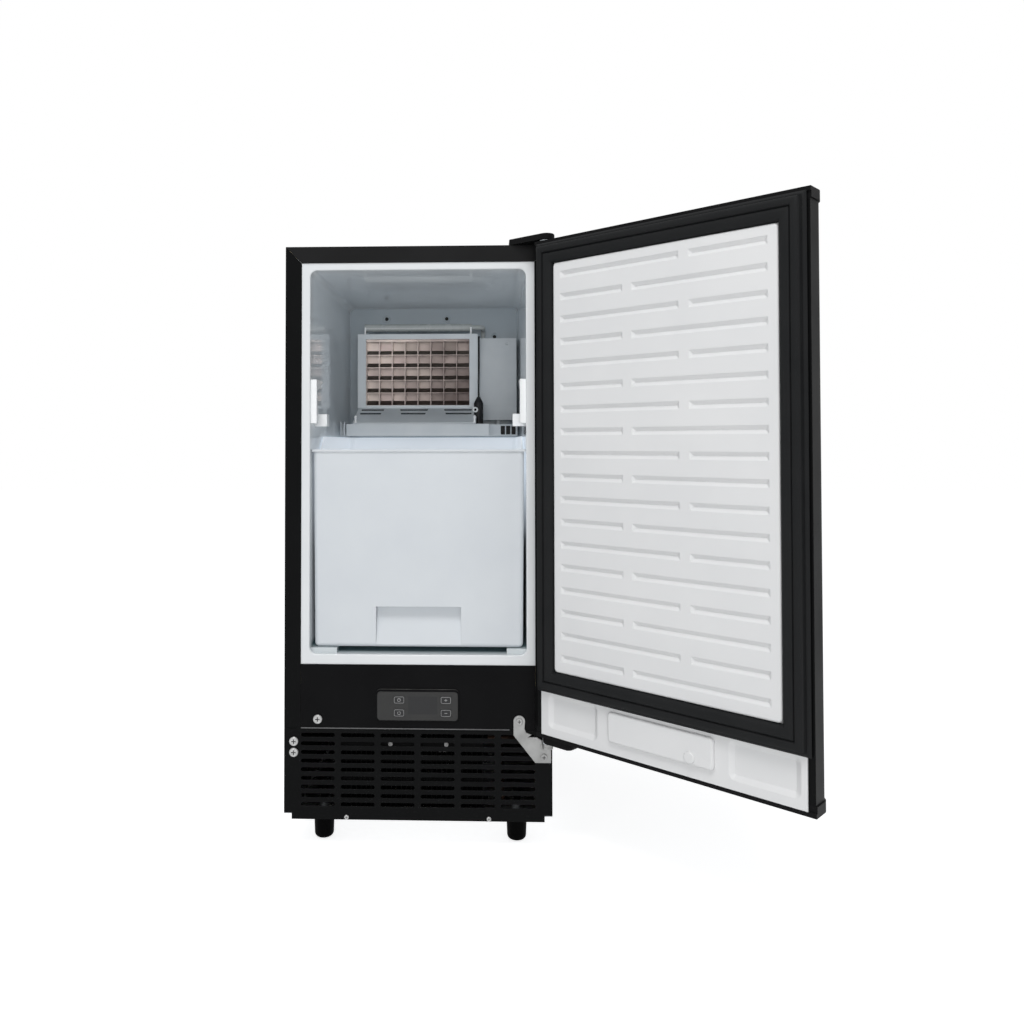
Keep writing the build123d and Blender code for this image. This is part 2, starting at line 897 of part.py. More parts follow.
def upper_hinge_cover():
    """Moulded cover over the upper hinge plate and its screws."""
    cover = slab_z(hinge_outline(cover_shell), top, top + hinge_sheet + cover_headroom)
    cover = fillet(cover.faces().sort_by(Axis.Z)[-1].edges(), cover_shell * 0.8)
    return cover - slab_z(hinge_outline(0), top, top + hinge_sheet + cover_headroom - cover_shell)


def hinge_pins():
    """Lower pin with its collar, and upper pin with its head."""
    lower = rod_z(pivot_x, pivot_y, leaf_top - bracket_sheet, door_bottom + pin_reach, pin_radius)
    lower += rod_z(pivot_x, pivot_y, leaf_top, door_bottom - stop_height - running_gap, collar_radius)
    upper = rod_z(pivot_x, pivot_y, door_top - pin_reach, top + hinge_sheet, pin_radius)
    head_radius, head_height = pin_head
    upper += rod_z(pivot_x, pivot_y, top + hinge_sheet, top + hinge_sheet + head_height, head_radius)
    return Compound([lower, upper])


# Cavity fittings

def ice_bin():
    """Tapered tub with a low front, a lip along the front edge and a finger pull at its foot."""
    tub = loft([bin_outline(bin_floor, 0), bin_outline(bin_back_top, 0)])
    tub = fillet(tub.faces().sort_by(Axis.Z)[0].edges(), bin_foot_round)
    space = loft([bin_outline(bin_floor + bin_wall, bin_wall), bin_outline(bin_back_top, bin_wall)])
    space = fillet(space.faces().sort_by(Axis.Z)[0].edges(), bin_inner_round)
    face = front + bin_in
    pull_half = pull_width / 2
    pull_top = bin_floor + pull_height
    pocket = shape_of(
        (face - cut_margin, pull_top), (face + pull_depth, pull_top),
        (face + bin_draft, bin_floor + bin_wall), (face - cut_margin, bin_floor + bin_wall),
    )
    backing = shape_of(
        (face + bin_draft, pull_top + bin_wall), (face + pull_depth + bin_wall, pull_top + bin_wall),
        (face + pull_depth + bin_wall, pull_top - bin_wall), (face + 3 * bin_wall, bin_floor + bin_wall),
        (face + bin_draft, bin_floor + bin_wall),
    )
    tub -= space - slab_x(backing, -pull_half - bin_wall, pull_half + bin_wall)
    tub -= slab_x(pocket, -pull_half, pull_half)
    above = shape_of(
        (face - cut_margin, bin_front_top), (front + bin_step_in, bin_front_top),
        (front + bin_step_in + bin_step_run, bin_back_top), (face - cut_margin, bin_back_top),
    )
    tub -= slab_x(above, -cavity_half, cavity_half)
    lip_half = cavity_half - running_gap
    lip = block(-lip_half, lip_half, face - bin_lip_proud, face + bin_lip,
                bin_front_top - bin_lip_height, bin_front_top)
    return tub + fillet(lip.edges().filter_by(Axis.Z).group_by(Axis.Y)[0], bin_lip)


def bin_outline(z, wall):
    """Section of the bin at a height, inside a wall: it narrows towards its floor."""
    inset = bin_draft * (bin_back_top - z) / (bin_back_top - bin_floor) + wall
    section = Rectangle(2 * (bin_half - inset), bin_length - 2 * inset)
    section = fillet(section.vertices().group_by(Axis.Y)[0], bin_front_corner - wall / 2)
    section = fillet(section.vertices().group_by(Axis.Y)[-1], bin_corner - wall)
    return Pos(0, front + bin_in + bin_length / 2, z) * section


def bin_keepers():
    """White hooks on the side walls that stop the bin from tipping as it comes out."""
    high = cavity_top - keeper_drop
    low = high - keeper_height
    near = front + keeper_in
    hook = shape_of(
        (near, high), (near + keeper_tip, high), (near + keeper_tip, high - keeper_tip_edge),
        (near + keeper_stem, high - keeper_hook), (near + keeper_stem, high - keeper_block_drop),
        (near + keeper_block, high - keeper_block_drop), (near + keeper_block, low), (near, low),
    )
    keeper = slab_x(hook, cavity_half - keeper_thick, cavity_half)
    foot_in = near + keeper_foot_in
    foot_low = low - keeper_foot_drop
    foot_top = foot_low + keeper_foot
    keeper += block(cavity_half - keeper_arm, cavity_half, near, foot_in + keeper_foot, low, foot_top)
    keeper += block(cavity_half - keeper_foot, cavity_half, foot_in, foot_in + keeper_foot,
                    foot_low, foot_top)
    return Compound([keeper, mirror(keeper, about=Plane.YZ)])


# Ice making

def evaporator_grid():
    """Plated copper grid of cells that freezes the cubes; each cell's floor slopes down to its front."""
    face = cavity_back - grid_fore
    cell_rear = grid_rear - cell_back
    left = frame_left + frame_border_x
    grid = block(left, left + grid_width, face, grid_rear, grid_bottom, grid_top)
    pitch_x = grid_width / cell_columns
    cells = []
    for row in range(cell_rows):
        low = grid_bottom + fin / 2 + row * cell_pitch
        high = low + cell_pitch - fin
        if row == cell_rows - 1:
            high = grid_top - fin - cell_rise
        profile = shape_of(
            (face, low), (face, high), (cell_rear, high + cell_rise), (cell_rear, low + cell_draft)
        )
        for column in range(cell_columns):
            start = left + fin / 2 + column * pitch_x
            cells.append(slab_x(profile, start, start + pitch_x - fin))
    return grid - cells


def evaporator_frame():
    """Plastic surround of the grid, with two arms that reach the back wall."""
    face = cavity_back - frame_fore
    frame = block(frame_left, frame_right, face, face + frame_depth, frame_bottom, frame_top)
    left = frame_left + frame_border_x
    frame -= block(left, left + grid_width, face, face + frame_depth, grid_bottom, grid_top)
    for x in (frame_left, frame_right - frame_arm):
        frame += block(x, x + frame_arm, face + frame_depth, cavity_back,
                       grid_bottom + arm_foot, grid_top - arm_head)
    return frame


def coil_row(row):
    """Height of one row of the evaporator coil, counted from the top."""
    return grid_mid + coil_span * (0.5 - row / (coil_rows - 1))


def coil_ends():
    """Places where the two ends of the coil pass through the back wall."""
    step = coil_tail_step / 2
    return ((duct_x + step, coil_row(0)), (duct_x - step, coil_row(coil_rows - 1)))


def evaporator_coil():
    """Copper pipe that runs to and fro across the back of the grid."""
    y = grid_rear + coil_radius
    left = frame_left + frame_border_x + coil_side_gap
    (start_x, start_z), (end_x, end_z) = coil_ends()
    right = start_x - 2 * coil_tail_step
    points = [(start_x, duct_y, start_z), (start_x, y, start_z)]
    for row in range(coil_rows):
        z = coil_row(row)
        ends = (right, left) if row % 2 == 0 else (left, right)
        if row > 0:
            points.append((ends[0], y, z))
        if row < coil_rows - 1:
            points.append((ends[1], y, z))
    points.append((end_x, y, end_z))
    points.append((end_x, duct_y, end_z))
    return pipe(points, coil_radius, coil_bend)


def water_distributor():
    """Tube over the evaporator that spreads the water, with a lug at each end."""
    z = frame_top + tube_rise
    y = cavity_back - tube_fore
    left, right = frame_left + tube_end, frame_right - tube_end
    tube = rod_x(y, z, left, right, tube_radius)
    for x in (left, right - tube_lug):
        tube += block(x, x + tube_lug, y - tube_radius, y + tube_radius, frame_top, z)
    tube -= rod_x(y, z, left + tube_lug, right, tube_radius - tube_bore_wall)
    hole_step = grid_width / cell_columns
    for column in range(cell_columns):
        x = frame_mid + (column - (cell_columns - 1) / 2) * hole_step
        tube -= rod_z(x, y, z - tube_radius, z, tube_hole)
    return tube


def ice_slide():
    """Slotted slide from the grid to the trough's front edge: cubes run over it, and water falls through."""
    near = cavity_back - frame_fore
    low = trough_top + slide_lift
    outline = shape_of(
        (near + slide_seat, frame_bottom), (near + slide_seat, frame_bottom - slide_wall),
        (cavity_back - slide_fore, low), (cavity_back - slide_fore, low + slide_wall),
        (near - slide_wall, frame_bottom),
    )
    left, right = frame_left + slide_end, frame_right - slide_end
    plate = slab_x(outline, left, right) - slab_z(slide_slots(left, right), low, frame_bottom)
    x, y = sensor_place()
    return plate - rod_z(x, y, low, frame_bottom, sensor_radius + running_gap)


def slide_slots(left, right):
    """Slots of the slide seen from above, in groups whose ends lean in towards the front."""
    near = cavity_back - frame_fore
    run = near - cavity_back + slide_fore
    slots = []
    for first, last, lean_first, lean_last in slide_groups:
        x0, x1 = left + (right - left) * first, left + (right - left) * last
        for up, down in slide_rows:
            slots.append(shape_of(
                (x0 + slide_lean * lean_first * up, near - run * up),
                (x1 - slide_lean * lean_last * up, near - run * up),
                (x1 - slide_lean * lean_last * down, near - run * down),
                (x0 + slide_lean * lean_first * down, near - run * down),
            ))
    return Sketch() + slots


def water_trough():
    """Trough under the evaporator that catches the water, with a sump for the pump behind a guard."""
    near = cavity_back - trough_fore
    sump_near = cavity_back - sump_fore
    sump_right = cavity_half - sump_gap
    trough = block(trough_left, trough_right, near, cavity_back, trough_bottom, trough_top)
    trough += block(trough_left, sump_right, sump_near, cavity_back, trough_bottom, trough_top)
    wall = trough_wall
    trough -= block(trough_left + wall, trough_right - wall, near + wall, cavity_back - wall,
                    trough_bottom + wall, trough_top)
    trough -= block(trough_left + wall, sump_right - wall, sump_near + wall, cavity_back - wall,
                    trough_bottom + wall, trough_top)
    guard_far = sump_near + wall + guard_depth
    trough += block(trough_right - wall, sump_right - wall, guard_far, guard_far + wall,
                    trough_bottom, trough_top)
    for count in range(guard_slots):
        x = sump_right - wall - guard_edge - guard_pitch * count
        trough -= block(x - guard_slot, x, sump_near, sump_near + wall,
                        trough_bottom + guard_sill, trough_top - guard_sill)
    ear_near = near + ear_in
    ear_far = ear_near + ear_reach
    for x in (trough_left - ear_reach, trough_left - ear_reach / 2):
        trough += block(x, x + wall, ear_near, ear_far, trough_bottom, trough_top + ear_rise)
    trough += block(trough_left - ear_reach, trough_left, ear_far - wall, ear_far,
                    trough_bottom, trough_top)
    return trough + block(trough_left, cover_left - running_gap, cavity_back - wall, cavity_back,
                          trough_top, trough_top + trough_back_rise)


def pump_axis():
    """Plan position of the pump."""
    return (cover_left + cover_right) / 2, (cavity_back - cover_fore + cover_wall + cavity_back) / 2


def circulation_pump():
    """Pump with its motor above and its suction pipe in the sump, held by a foot on the back wall."""
    x, y = pump_axis()
    high = cover_top - pump_drop
    low = high - pump_length
    pump = rod_z(x, y, low, high, pump_radius)
    pump += rod_z(x, y, low - volute_height, low, volute_radius)
    pump += rod_z(x, y, trough_bottom + trough_wall + suction_gap, low, suction_radius)
    foot_low = low + pump_foot_rise
    pump += block(x - pump_foot / 2, x + pump_foot / 2, y, cavity_back,
                  foot_low, foot_low + pump_foot_height)
    outlet = low - volute_height / 2
    return pump + rod_x(y, outlet, x - volute_radius - outlet_reach, x, hose_radius)


def pump_hose():
    """Hose from the pump's outlet up to the distributor tube."""
    x, y = pump_axis()
    start = x - volute_radius - outlet_reach
    outlet = cover_top - pump_drop - pump_length - volute_height / 2
    tube_z = frame_top + tube_rise
    tube_y = cavity_back - tube_fore
    rise_x = start - hose_turn
    points = [
        (start, y, outlet), (rise_x, y, outlet), (rise_x, y, tube_z), (rise_x, tube_y, tube_z),
        (frame_right - tube_end, tube_y, tube_z),
    ]
    return pipe(points, hose_radius, list(hose_bends))


def pump_cover():
    """White box over the pump, open at its back and foot, with a stepped skirt."""
    near = cavity_back - cover_fore
    cover = block(cover_left, cover_right, near, cavity_back, cover_bottom, cover_top)
    wall = cover_wall
    cover -= block(cover_left + wall, cover_right - wall, near + wall, cavity_back,
                   cover_bottom, cover_top - wall)
    for height, proud in cover_steps:
        cover += block(cover_left, cover_right, near - proud, near, cover_bottom, cover_bottom + height)
    x, y = pump_axis()
    slot_x = x - volute_radius - outlet_reach - hose_turn
    clear = hose_radius + running_gap
    cover -= block(slot_x - clear, slot_x + clear, y - clear, cavity_back, cover_top - wall, cover_top)
    return drill(cover, [cover_screw])


def sensor_place():
    """Plan position of the ice-level sensor."""
    return frame_right + lead_radius + running_gap, cavity_back - sensor_fore


def ice_sensor():
    """Black ice-level sensor with a pointed head, on an arm from the frame, and its lead."""
    x, y = sensor_place()
    low = trough_top + sensor_lift
    high = low + sensor_height
    body = rod_z(x, y, low, high - sensor_cone, sensor_radius)
    body += Pos(x, y, high - sensor_cone / 2) * Cone(sensor_radius, sensor_tip, sensor_cone)
    arm_left = frame_right - slide_end + running_gap
    arm_low = frame_bottom - sensor_arm_height / 2
    arm_high = arm_low + sensor_arm_height
    body += block(arm_left, arm_left + sensor_arm, y, cavity_back - frame_fore, arm_low, arm_high)
    lead_y = cavity_back - frame_fore + lead_radius + sensor_arm
    lead = [
        (x, y, high), (x, y, high + lead_rise), (x, lead_y, high + lead_climb),
        (x, lead_y, frame_top - lead_end),
    ]
    return body + pipe(lead, lead_radius, lead_bend)


# Machine compartment

def leg(x, y):
    """Levelling leg with a tapered foot and a stud that screws into the base pan."""
    length = pan_bottom - leg_seat
    foot = Pos(x, y, length / 2) * Cone(leg_foot_radius, leg_radius, length)
    foot = fillet(foot.edges().sort_by(Axis.Z)[0], leg_round)
    return foot + rod_z(x, y, length, length + stud_length, stud_radius)


def cond_right():
    """Right side of the condenser."""
    return -pan_half + cond_left + cond_width


def condenser():
    """Finned condenser between two end plates, with a strap across its front."""
    left, right = -pan_half + cond_left, cond_right()
    near, far = front + cond_in, front + cond_in + cond_depth
    high = pan_floor + cond_height
    body = block(left - plate_wall, left, near, far, pan_floor, high)
    body += block(right, right + plate_wall, near, far, pan_floor, high)
    step = cond_width / (cond_fins + 1)
    for count in range(cond_fins):
        x = left + step * (count + 1)
        body += block(x - fin_sheet / 2, x + fin_sheet / 2, near + fin_edge, far - fin_edge,
                      pan_floor + fin_end, high - fin_end)
    for row in range(cond_tube_rows):
        z = pan_floor + cond_height * (row + 0.5) / cond_tube_rows
        for y in (near + cond_tube_in, far - cond_tube_in):
            body += rod_x(y, z, left - cond_tube_out, right + cond_tube_out, cond_tube)
    strap_half = strap_height / 2
    strap_ends = left - plate_wall, right + plate_wall
    body += block(*strap_ends, strap_front, near, strap_z - strap_half, strap_z + strap_half)
    body += block(*strap_ends, near, near + fin_edge, strap_z - strap_tie / 2, strap_z + strap_tie / 2)
    return drill(body, strap_screws)


def fan_shroud():
    """Plate behind the condenser with a ring round the fan."""
    left, right = -pan_half + cond_left - plate_wall, cond_right() + plate_wall
    near = front + cond_in + cond_depth
    plate = block(left, right, near, near + plate_wall, pan_floor, pan_floor + cond_height)
    plate += rod_y(fan_x, fan_z, near, near + shroud_depth, fan_ring + plate_wall)
    return plate - rod_y(fan_x, fan_z, near, near + shroud_depth, fan_ring)


def fan_motor():
    """Fan motor on a foot bracket, bored for the fan shaft."""
    near = fan_front + fan_hub_depth + motor_gap
    far = near + motor_length
    motor = rod_y(fan_x, fan_z, near, far, motor_radius)
    motor += block(fan_x - motor_foot / 2, fan_x + motor_foot / 2,
                   near + motor_foot_in, far - motor_foot_in, pan_floor, fan_z)
    bore_end = near + shaft_length + bore_spare
    return motor - rod_y(fan_x, fan_z, near, bore_end, shaft_radius + pin_clearance)


def fan_blade():
    """Fan with pitched blades on a hub, and the shaft that turns in the motor."""
    far = fan_front + fan_hub_depth
    fan = rod_y(fan_x, fan_z, fan_front, far, fan_hub)
    tip = fan_ring - fan_tip_gap
    root = fan_hub - blade_root
    middle = Pos((root + tip) / 2, 0, 0)
    blade = middle * Rot(fan_pitch, 0, 0) * Box(tip - root, blade_sheet, blade_chord)
    blade &= Rot(90, 0, 0) * Cylinder(tip, 2 * blade_chord)
    centre = Pos(fan_x, (fan_front + far) / 2, fan_z)
    for count in range(fan_blades):
        fan += centre * Rot(0, 360 * count / fan_blades, 0) * blade
    return fan + rod_y(fan_x, fan_z, far, far + motor_gap + shaft_length, shaft_radius)


def comp_low():
    """Top of the compressor's rubber mounts."""
    return pan_floor + mount_height


def mount_places():
    """Plan positions of the compressor's mounts."""
    width, depth = comp_plate[0] - 2 * mount_inset, comp_plate[1] - 2 * mount_inset
    return [
        (comp_x + place.position.X, comp_y + place.position.Y)
        for place in GridLocations(width, depth, 2, 2)
    ]


def compressor():
    """Welded can on a foot plate, with a terminal box and pipe stubs."""
    low = comp_low()
    width, depth, thick = comp_plate
    plate = Pos(comp_x, comp_y, low + thick / 2) * Box(width, depth, thick)
    for x, y in mount_places():
        plate -= rod_z(x, y, low, low + thick, mount_hole)
    can = Pos(comp_x, comp_y, low + thick + comp_height / 2) * Cylinder(comp_radius, comp_height)
    can = fillet(can.edges().sort_by(Axis.Z)[-1], comp_crown)
    can = fillet(can.edges().sort_by(Axis.Z)[0], comp_heel)
    box_length, box_width, box_height = terminal_box
    box_x = comp_x - comp_radius + terminal_set - box_length / 2
    can += Pos(box_x, comp_y, low + terminal_rise) * Box(box_length, box_width, box_height)
    for y, z in (suction_port(), discharge_port()):
        can += rod_x(y, z, comp_x, comp_x + comp_radius + port_reach, line_radius)
    return plate + can


def suction_port():
    """Depth and height of the compressor's suction stub."""
    return comp_y, comp_low() + suction_rise


def discharge_port():
    """Depth and height of the compressor's discharge stub."""
    return comp_y - discharge_side, comp_low() + discharge_rise


def compressor_mounts():
    """Rubber mounts under the compressor."""
    low = pan_floor
    return Compound([rod_z(x, y, low, comp_low(), mount_radius) for x, y in mount_places()])


def drier_top():
    """Top of the filter drier."""
    return foam_bottom - drier_drop


def refrigerant_lines():
    """Suction, discharge and liquid lines between the compressor, condenser and coil."""
    port_x = comp_x + comp_radius + port_reach
    (start_x, start_z), (end_x, end_z) = coil_ends()
    y, z = suction_port()
    turn = duct_y + line_turn
    suction = pipe(
        [(end_x, duct_y, end_z), (end_x, turn, end_z), (end_x, turn, z), (end_x, y, z), (port_x, y, z)],
        line_radius, [tight_bend, wide_bend, mid_bend])
    y, z = discharge_port()
    cond_x = cond_right() + cond_tube_out
    cond_y = front + cond_in + cond_tube_in
    out_x = cond_x + discharge_out
    high = pan_floor + cond_height * (cond_tube_rows - 0.5) / cond_tube_rows
    low = pan_floor + cond_height * 0.5 / cond_tube_rows
    discharge = pipe(
        [(port_x, y, z), (out_x, y, z), (out_x, cond_y, high), (cond_x, cond_y, high)],
        line_radius, wide_bend)
    upper = pipe(
        [(start_x, duct_y, start_z), (start_x, turn, start_z), (start_x, turn, drier_top())],
        thin_line_radius, tight_bend)
    foot = drier_top() - drier_height
    side_x = cond_x + liquid_out
    lower = pipe(
        [(start_x, turn, foot), (start_x, turn, low), (side_x, turn - liquid_run, low),
         (side_x, cond_y, low), (cond_x, cond_y, low)],
        thin_line_radius, [mid_bend, wide_bend, mid_bend])
    return Compound([suction, discharge, upper, lower])


def filter_drier():
    """Copper filter drier in the liquid line."""
    x = coil_ends()[0][0]
    high = drier_top()
    drier = rod_z(x, duct_y + line_turn, high - drier_height, high, drier_radius)
    return fillet(drier.edges(), drier_radius * 0.5)


def drain_spout():
    """Flanged spout in the cavity's floor."""
    y = cavity_back - drain_fore
    low = foam_bottom - spout_reach
    high = cavity_floor + drain_flange_thick
    spout = rod_z(drain_x, y, low, cavity_floor, drain_radius)
    spout += rod_z(drain_x, y, cavity_floor, high, drain_flange)
    return spout - rod_z(drain_x, y, low, high, drain_bore)


def drain_hose():
    """Hose from the drain spout to a stub behind the rear panel, with a collar at the panel."""
    y = cavity_back - drain_fore
    points = [(drain_x, y, foam_bottom - spout_reach), (drain_x, y, drain_height),
              (drain_x, back + drain_stub, drain_height)]
    ring_radius, ring_thick = drain_collar
    hose = pipe(points, drain_radius, drain_bend)
    hose += rod_y(drain_x, drain_height, back, back + ring_thick, ring_radius)
    return hose - pipe(points, drain_bore, drain_bend)


def inlet_valve():
    """Water inlet valve behind the rear panel, with a collar and a stub outside."""
    width, thick = inlet_flange
    inner = back - sheet
    ring_radius, ring_thick = inlet_collar
    end = back + ring_thick + inlet_length
    valve = rod_y(inlet_x, inlet_height, inner - thick, end, inlet_radius)
    valve += rod_y(inlet_x, inlet_height, back, back + ring_thick, ring_radius)
    valve += block(inlet_x - width / 2, inlet_x + width / 2, inner - thick, inner,
                   inlet_height - width / 2, inlet_height + width / 2)
    body, depth = valve_body
    body_top = inlet_height + body / 2
    valve += block(inlet_x - body / 2, inlet_x + body / 2, inner - thick - depth, inner - thick,
                   inlet_height - body / 2, body_top)
    coil, tall = solenoid
    valve += rod_z(inlet_x, inner - solenoid_in, body_top, body_top + tall, coil)
    return valve - rod_y(inlet_x, inlet_height, inner, end, inlet_radius - inlet_wall)


def cord_gland():
    """Bushing in the rear panel for the mains lead."""
    flange_radius, flange_thick = gland_flange
    gland = rod_y(gland_x, gland_height, back - gland_depth, back, gland_radius)
    gland += rod_y(gland_x, gland_height, back, back + flange_thick, flange_radius)
    return gland - rod_y(gland_x, gland_height, back - gland_depth, back + flange_thick, gland_bore)


# Door, drawn closed and then swung open about its pins

def swing(part):
    """Turn a door piece from closed to its open place."""
    return part.rotate(pivot, door_open)


def door_outline(margin):
    """Section of the door seen from above, with rounded front corners."""
    wide = half + margin
    near, far = door_face - margin, door_plane - door_liner_wall
    section = Pos(0, (near + far) / 2) * Rectangle(2 * wide, far - near)
    return fillet(section.vertices().group_by(Axis.Y)[0], door_round + margin)


def door_skin():
    """Folded steel front of the door, with narrow returns at its back."""
    low, high = door_bottom + cap_height, door_top - cap_height
    outer = slab_z(door_outline(0), low, high)
    inner = slab_z(door_outline(-skin), low, high)
    far = door_plane - door_liner_wall
    skin_part = outer - inner - block(-half + skin, half - skin, far - skin, far, low, high)
    for side in (-1, 1):
        edges = sorted((side * (half - skin), side * (half - skin_return)))
        skin_part += block(*edges, far - skin, far, low, high)
    return drill_posts(skin_part)


def handle_posts():
    """Heights of the handle's two posts."""
    middle = (door_top + door_bottom) / 2
    reach = handle_length / 2 - handle_post_inset
    return middle - reach, middle + reach


def drill_posts(part):
    """Cut the holes that the handle's posts pass through."""
    hole = handle_stud + press_clearance
    for z in handle_posts():
        part -= rod_y(-half + handle_edge, z, door_face, door_face + handle_stud_length, hole)
    return part


def at_u(distance):
    """X of a place measured along the closed door from its hinge side."""
    return half - distance


def recesses():
    """Outlines of the two hollows in the lower zone of the door liner."""
    zone_top = gasket_low - recess_drop
    return [
        panel_of(at_u(away), at_u(near), zone_top - recess_height, zone_top, recess_corner)
        for near, away in (recess_hinge, recess_free)
    ]


def hollow_y(mouth, floor, y, depth):
    """Hollow that narrows from its mouth, at a place along Y, to its floor."""
    return loft([Plane.XZ.offset(-y) * mouth, Plane.XZ.offset(depth - y) * floor])


def gasket_inner():
    """Inner edges of the gasket: half width, lower edge and upper edge."""
    return gasket_outer - gasket_width, gasket_low + gasket_width, gasket_high - gasket_width


def door_liner():
    """White inner panel: a raised grooved field, and a lower zone that clears the hinge."""
    edge = half - door_liner_edge
    far = door_plane
    liner = block(-edge, edge, far - door_liner_wall, far, door_bottom + cap_lip, door_top - cap_lip)
    inner_half, low, high = gasket_inner()
    field_half = inner_half - panel_gap
    field = panel_of(-field_half, field_half, low + panel_gap, high - panel_gap, panel_corner)
    raised = slab_y(field, far - door_liner_wall, far + panel_rise)
    liner += fillet(raised.faces().sort_by(Axis.Y)[-1].edges(), panel_rise * 0.6)
    left, right = inner_half - groove_hinge_margin, -inner_half + groove_free_margin
    grooves = []
    for row in range(groove_rows):
        z = high - groove_first_drop - row * groove_pitch
        near, away = (groove_long, groove_short) if row % 2 == 0 else (groove_short, groove_long)
        for x, length in ((left - near / 2, near), (right + away / 2, away)):
            mouth = Pos(x, z) * Rectangle(length, groove_height)
            floor = Pos(x, z) * Rectangle(length - groove_height + groove_floor, groove_floor)
            grooves.append(hollow_y(mouth, floor, far + panel_rise, groove_depth))
    liner -= grooves
    for recess in recesses():
        liner += slab_y(offset(recess, door_liner_wall), far - recess_depth - door_liner_wall, far)
        liner -= hollow_y(recess, offset(recess, -recess_run), far, recess_depth)
    zone_top = gasket_low - pad_drop
    pad = panel_of(at_u(pad_span[1]), at_u(pad_span[0]), zone_top - pad_height, zone_top, pad_corner)
    pad_solid = slab_y(pad, far, far + pad_rise)
    liner += fillet(pad_solid.faces().sort_by(Axis.Y)[-1].edges(), pad_rise * 0.6)
    knob_x, knob_z = at_u(pad_span[1] - knob_edge), zone_top - pad_height + knob_lift
    knob = rod_y(knob_x, knob_z, far, far + pad_rise + knob_rise, knob_radius)
    return liner + fillet(knob.edges().sort_by(Axis.Y)[-1], knob_rise * 0.8)


def door_foam():
    """Insulation inside the door, with room for the liner's hollows and the skin's returns."""
    low, high = door_bottom + cap_height, door_top - cap_height
    foam = slab_z(door_outline(-skin), low, high)
    seat = door_plane - door_liner_wall
    for side in (-1, 1):
        edges = sorted((side * (half - skin), side * (half - skin_return)))
        foam -= block(*edges, seat - skin, seat, low, high)
    for recess in recesses():
        foam -= slab_y(offset(recess, door_liner_wall), seat - recess_depth, seat)
    return drill_posts(foam)


def door_gasket():
    """Magnetic gasket: a flat base strip with a bulb along it."""
    inner_half, low, high = gasket_inner()
    middle = (gasket_low + gasket_high) / 2
    tall = gasket_high - gasket_low
    base = Pos(0, middle) * Rectangle(2 * gasket_outer, tall)
    base -= panel_of(-inner_half, inner_half, low, high, panel_corner + panel_gap)
    ring = slab_y(base, door_plane, door_plane + gasket_base)
    inset = gasket_inset
    bulb = Pos(0, middle) * RectangleRounded(2 * (gasket_outer - inset), tall - 2 * inset, gasket_round)
    bulb -= panel_of(-inner_half - inset, inner_half + inset, low - inset, high + inset,
                     panel_corner + panel_gap + inset)
    crown = slab_y(bulb, door_plane + gasket_base, front - running_gap)
    return ring + fillet(crown.faces().sort_by(Axis.Y)[-1].edges(), gasket_crown)


def door_cap(low, high, lip_low, lip_high):
    """End cap of the door, a little proud of the skin, with a lip at the liner."""
    cap = slab_z(door_outline(cap_proud), low, high)
    far = door_plane
    edge = half + cap_proud
    return cap + block(-edge, edge, far - door_liner_wall, far, lip_low, lip_high)


def door_top_cap():
    """Upper end cap, bored for its bush."""
    cap = door_cap(door_top - cap_height, door_top, door_top - cap_lip, door_top)
    return cap - rod_z(pivot_x, pivot_y, door_top - cap_height, door_top, bush_radius + press_clearance)


def door_bottom_cap():
    """Lower end cap, bored for its bush, with the stop boss under the door."""
    cap = door_cap(door_bottom, door_bottom + cap_height, door_bottom, door_bottom + cap_lip)
    centre = Pos(half - stop_edge - stop_length / 2, (door_plane + door_face) / 2)
    boss = slab_z(centre * RectangleRounded(stop_length, stop_width, stop_corner),
                  door_bottom - stop_height, door_bottom)
    cap += fillet(boss.faces().sort_by(Axis.Z)[0].edges(), stop_round)
    return cap - rod_z(pivot_x, pivot_y, door_bottom - stop_height, door_bottom + cap_height,
                       bush_radius + press_clearance)


def door_bushes():
    """Plastic bushes that the hinge pins turn in."""
    low = door_bottom - stop_height
    lower = rod_z(pivot_x, pivot_y, low, door_bottom + cap_height, bush_radius)
    lower -= rod_z(pivot_x, pivot_y, low, door_bottom + cap_height, pin_radius + pin_clearance)
    upper = rod_z(pivot_x, pivot_y, door_top - cap_height, door_top, bush_radius)
    upper += rod_z(pivot_x, pivot_y, door_top, top - running_gap, bush_flange)
    upper -= rod_z(pivot_x, pivot_y, door_top - cap_height, top, pin_radius + pin_clearance)
    return Compound([lower, upper])


def door_handle():
    """Upright bar on two posts, near the free edge of the door."""
    x = -half + handle_edge
    y = door_face - handle_standoff
    middle = (door_top + door_bottom) / 2
    bar = rod_z(x, y, middle - handle_length / 2, middle + handle_length / 2, handle_radius)
    bar = fillet(bar.edges(), handle_radius * 0.4)
    for z in handle_posts():
        bar += rod_y(x, z, y, door_face, handle_post)
        bar += rod_y(x, z, door_face, door_face + handle_stud_length, handle_stud)
    return bar


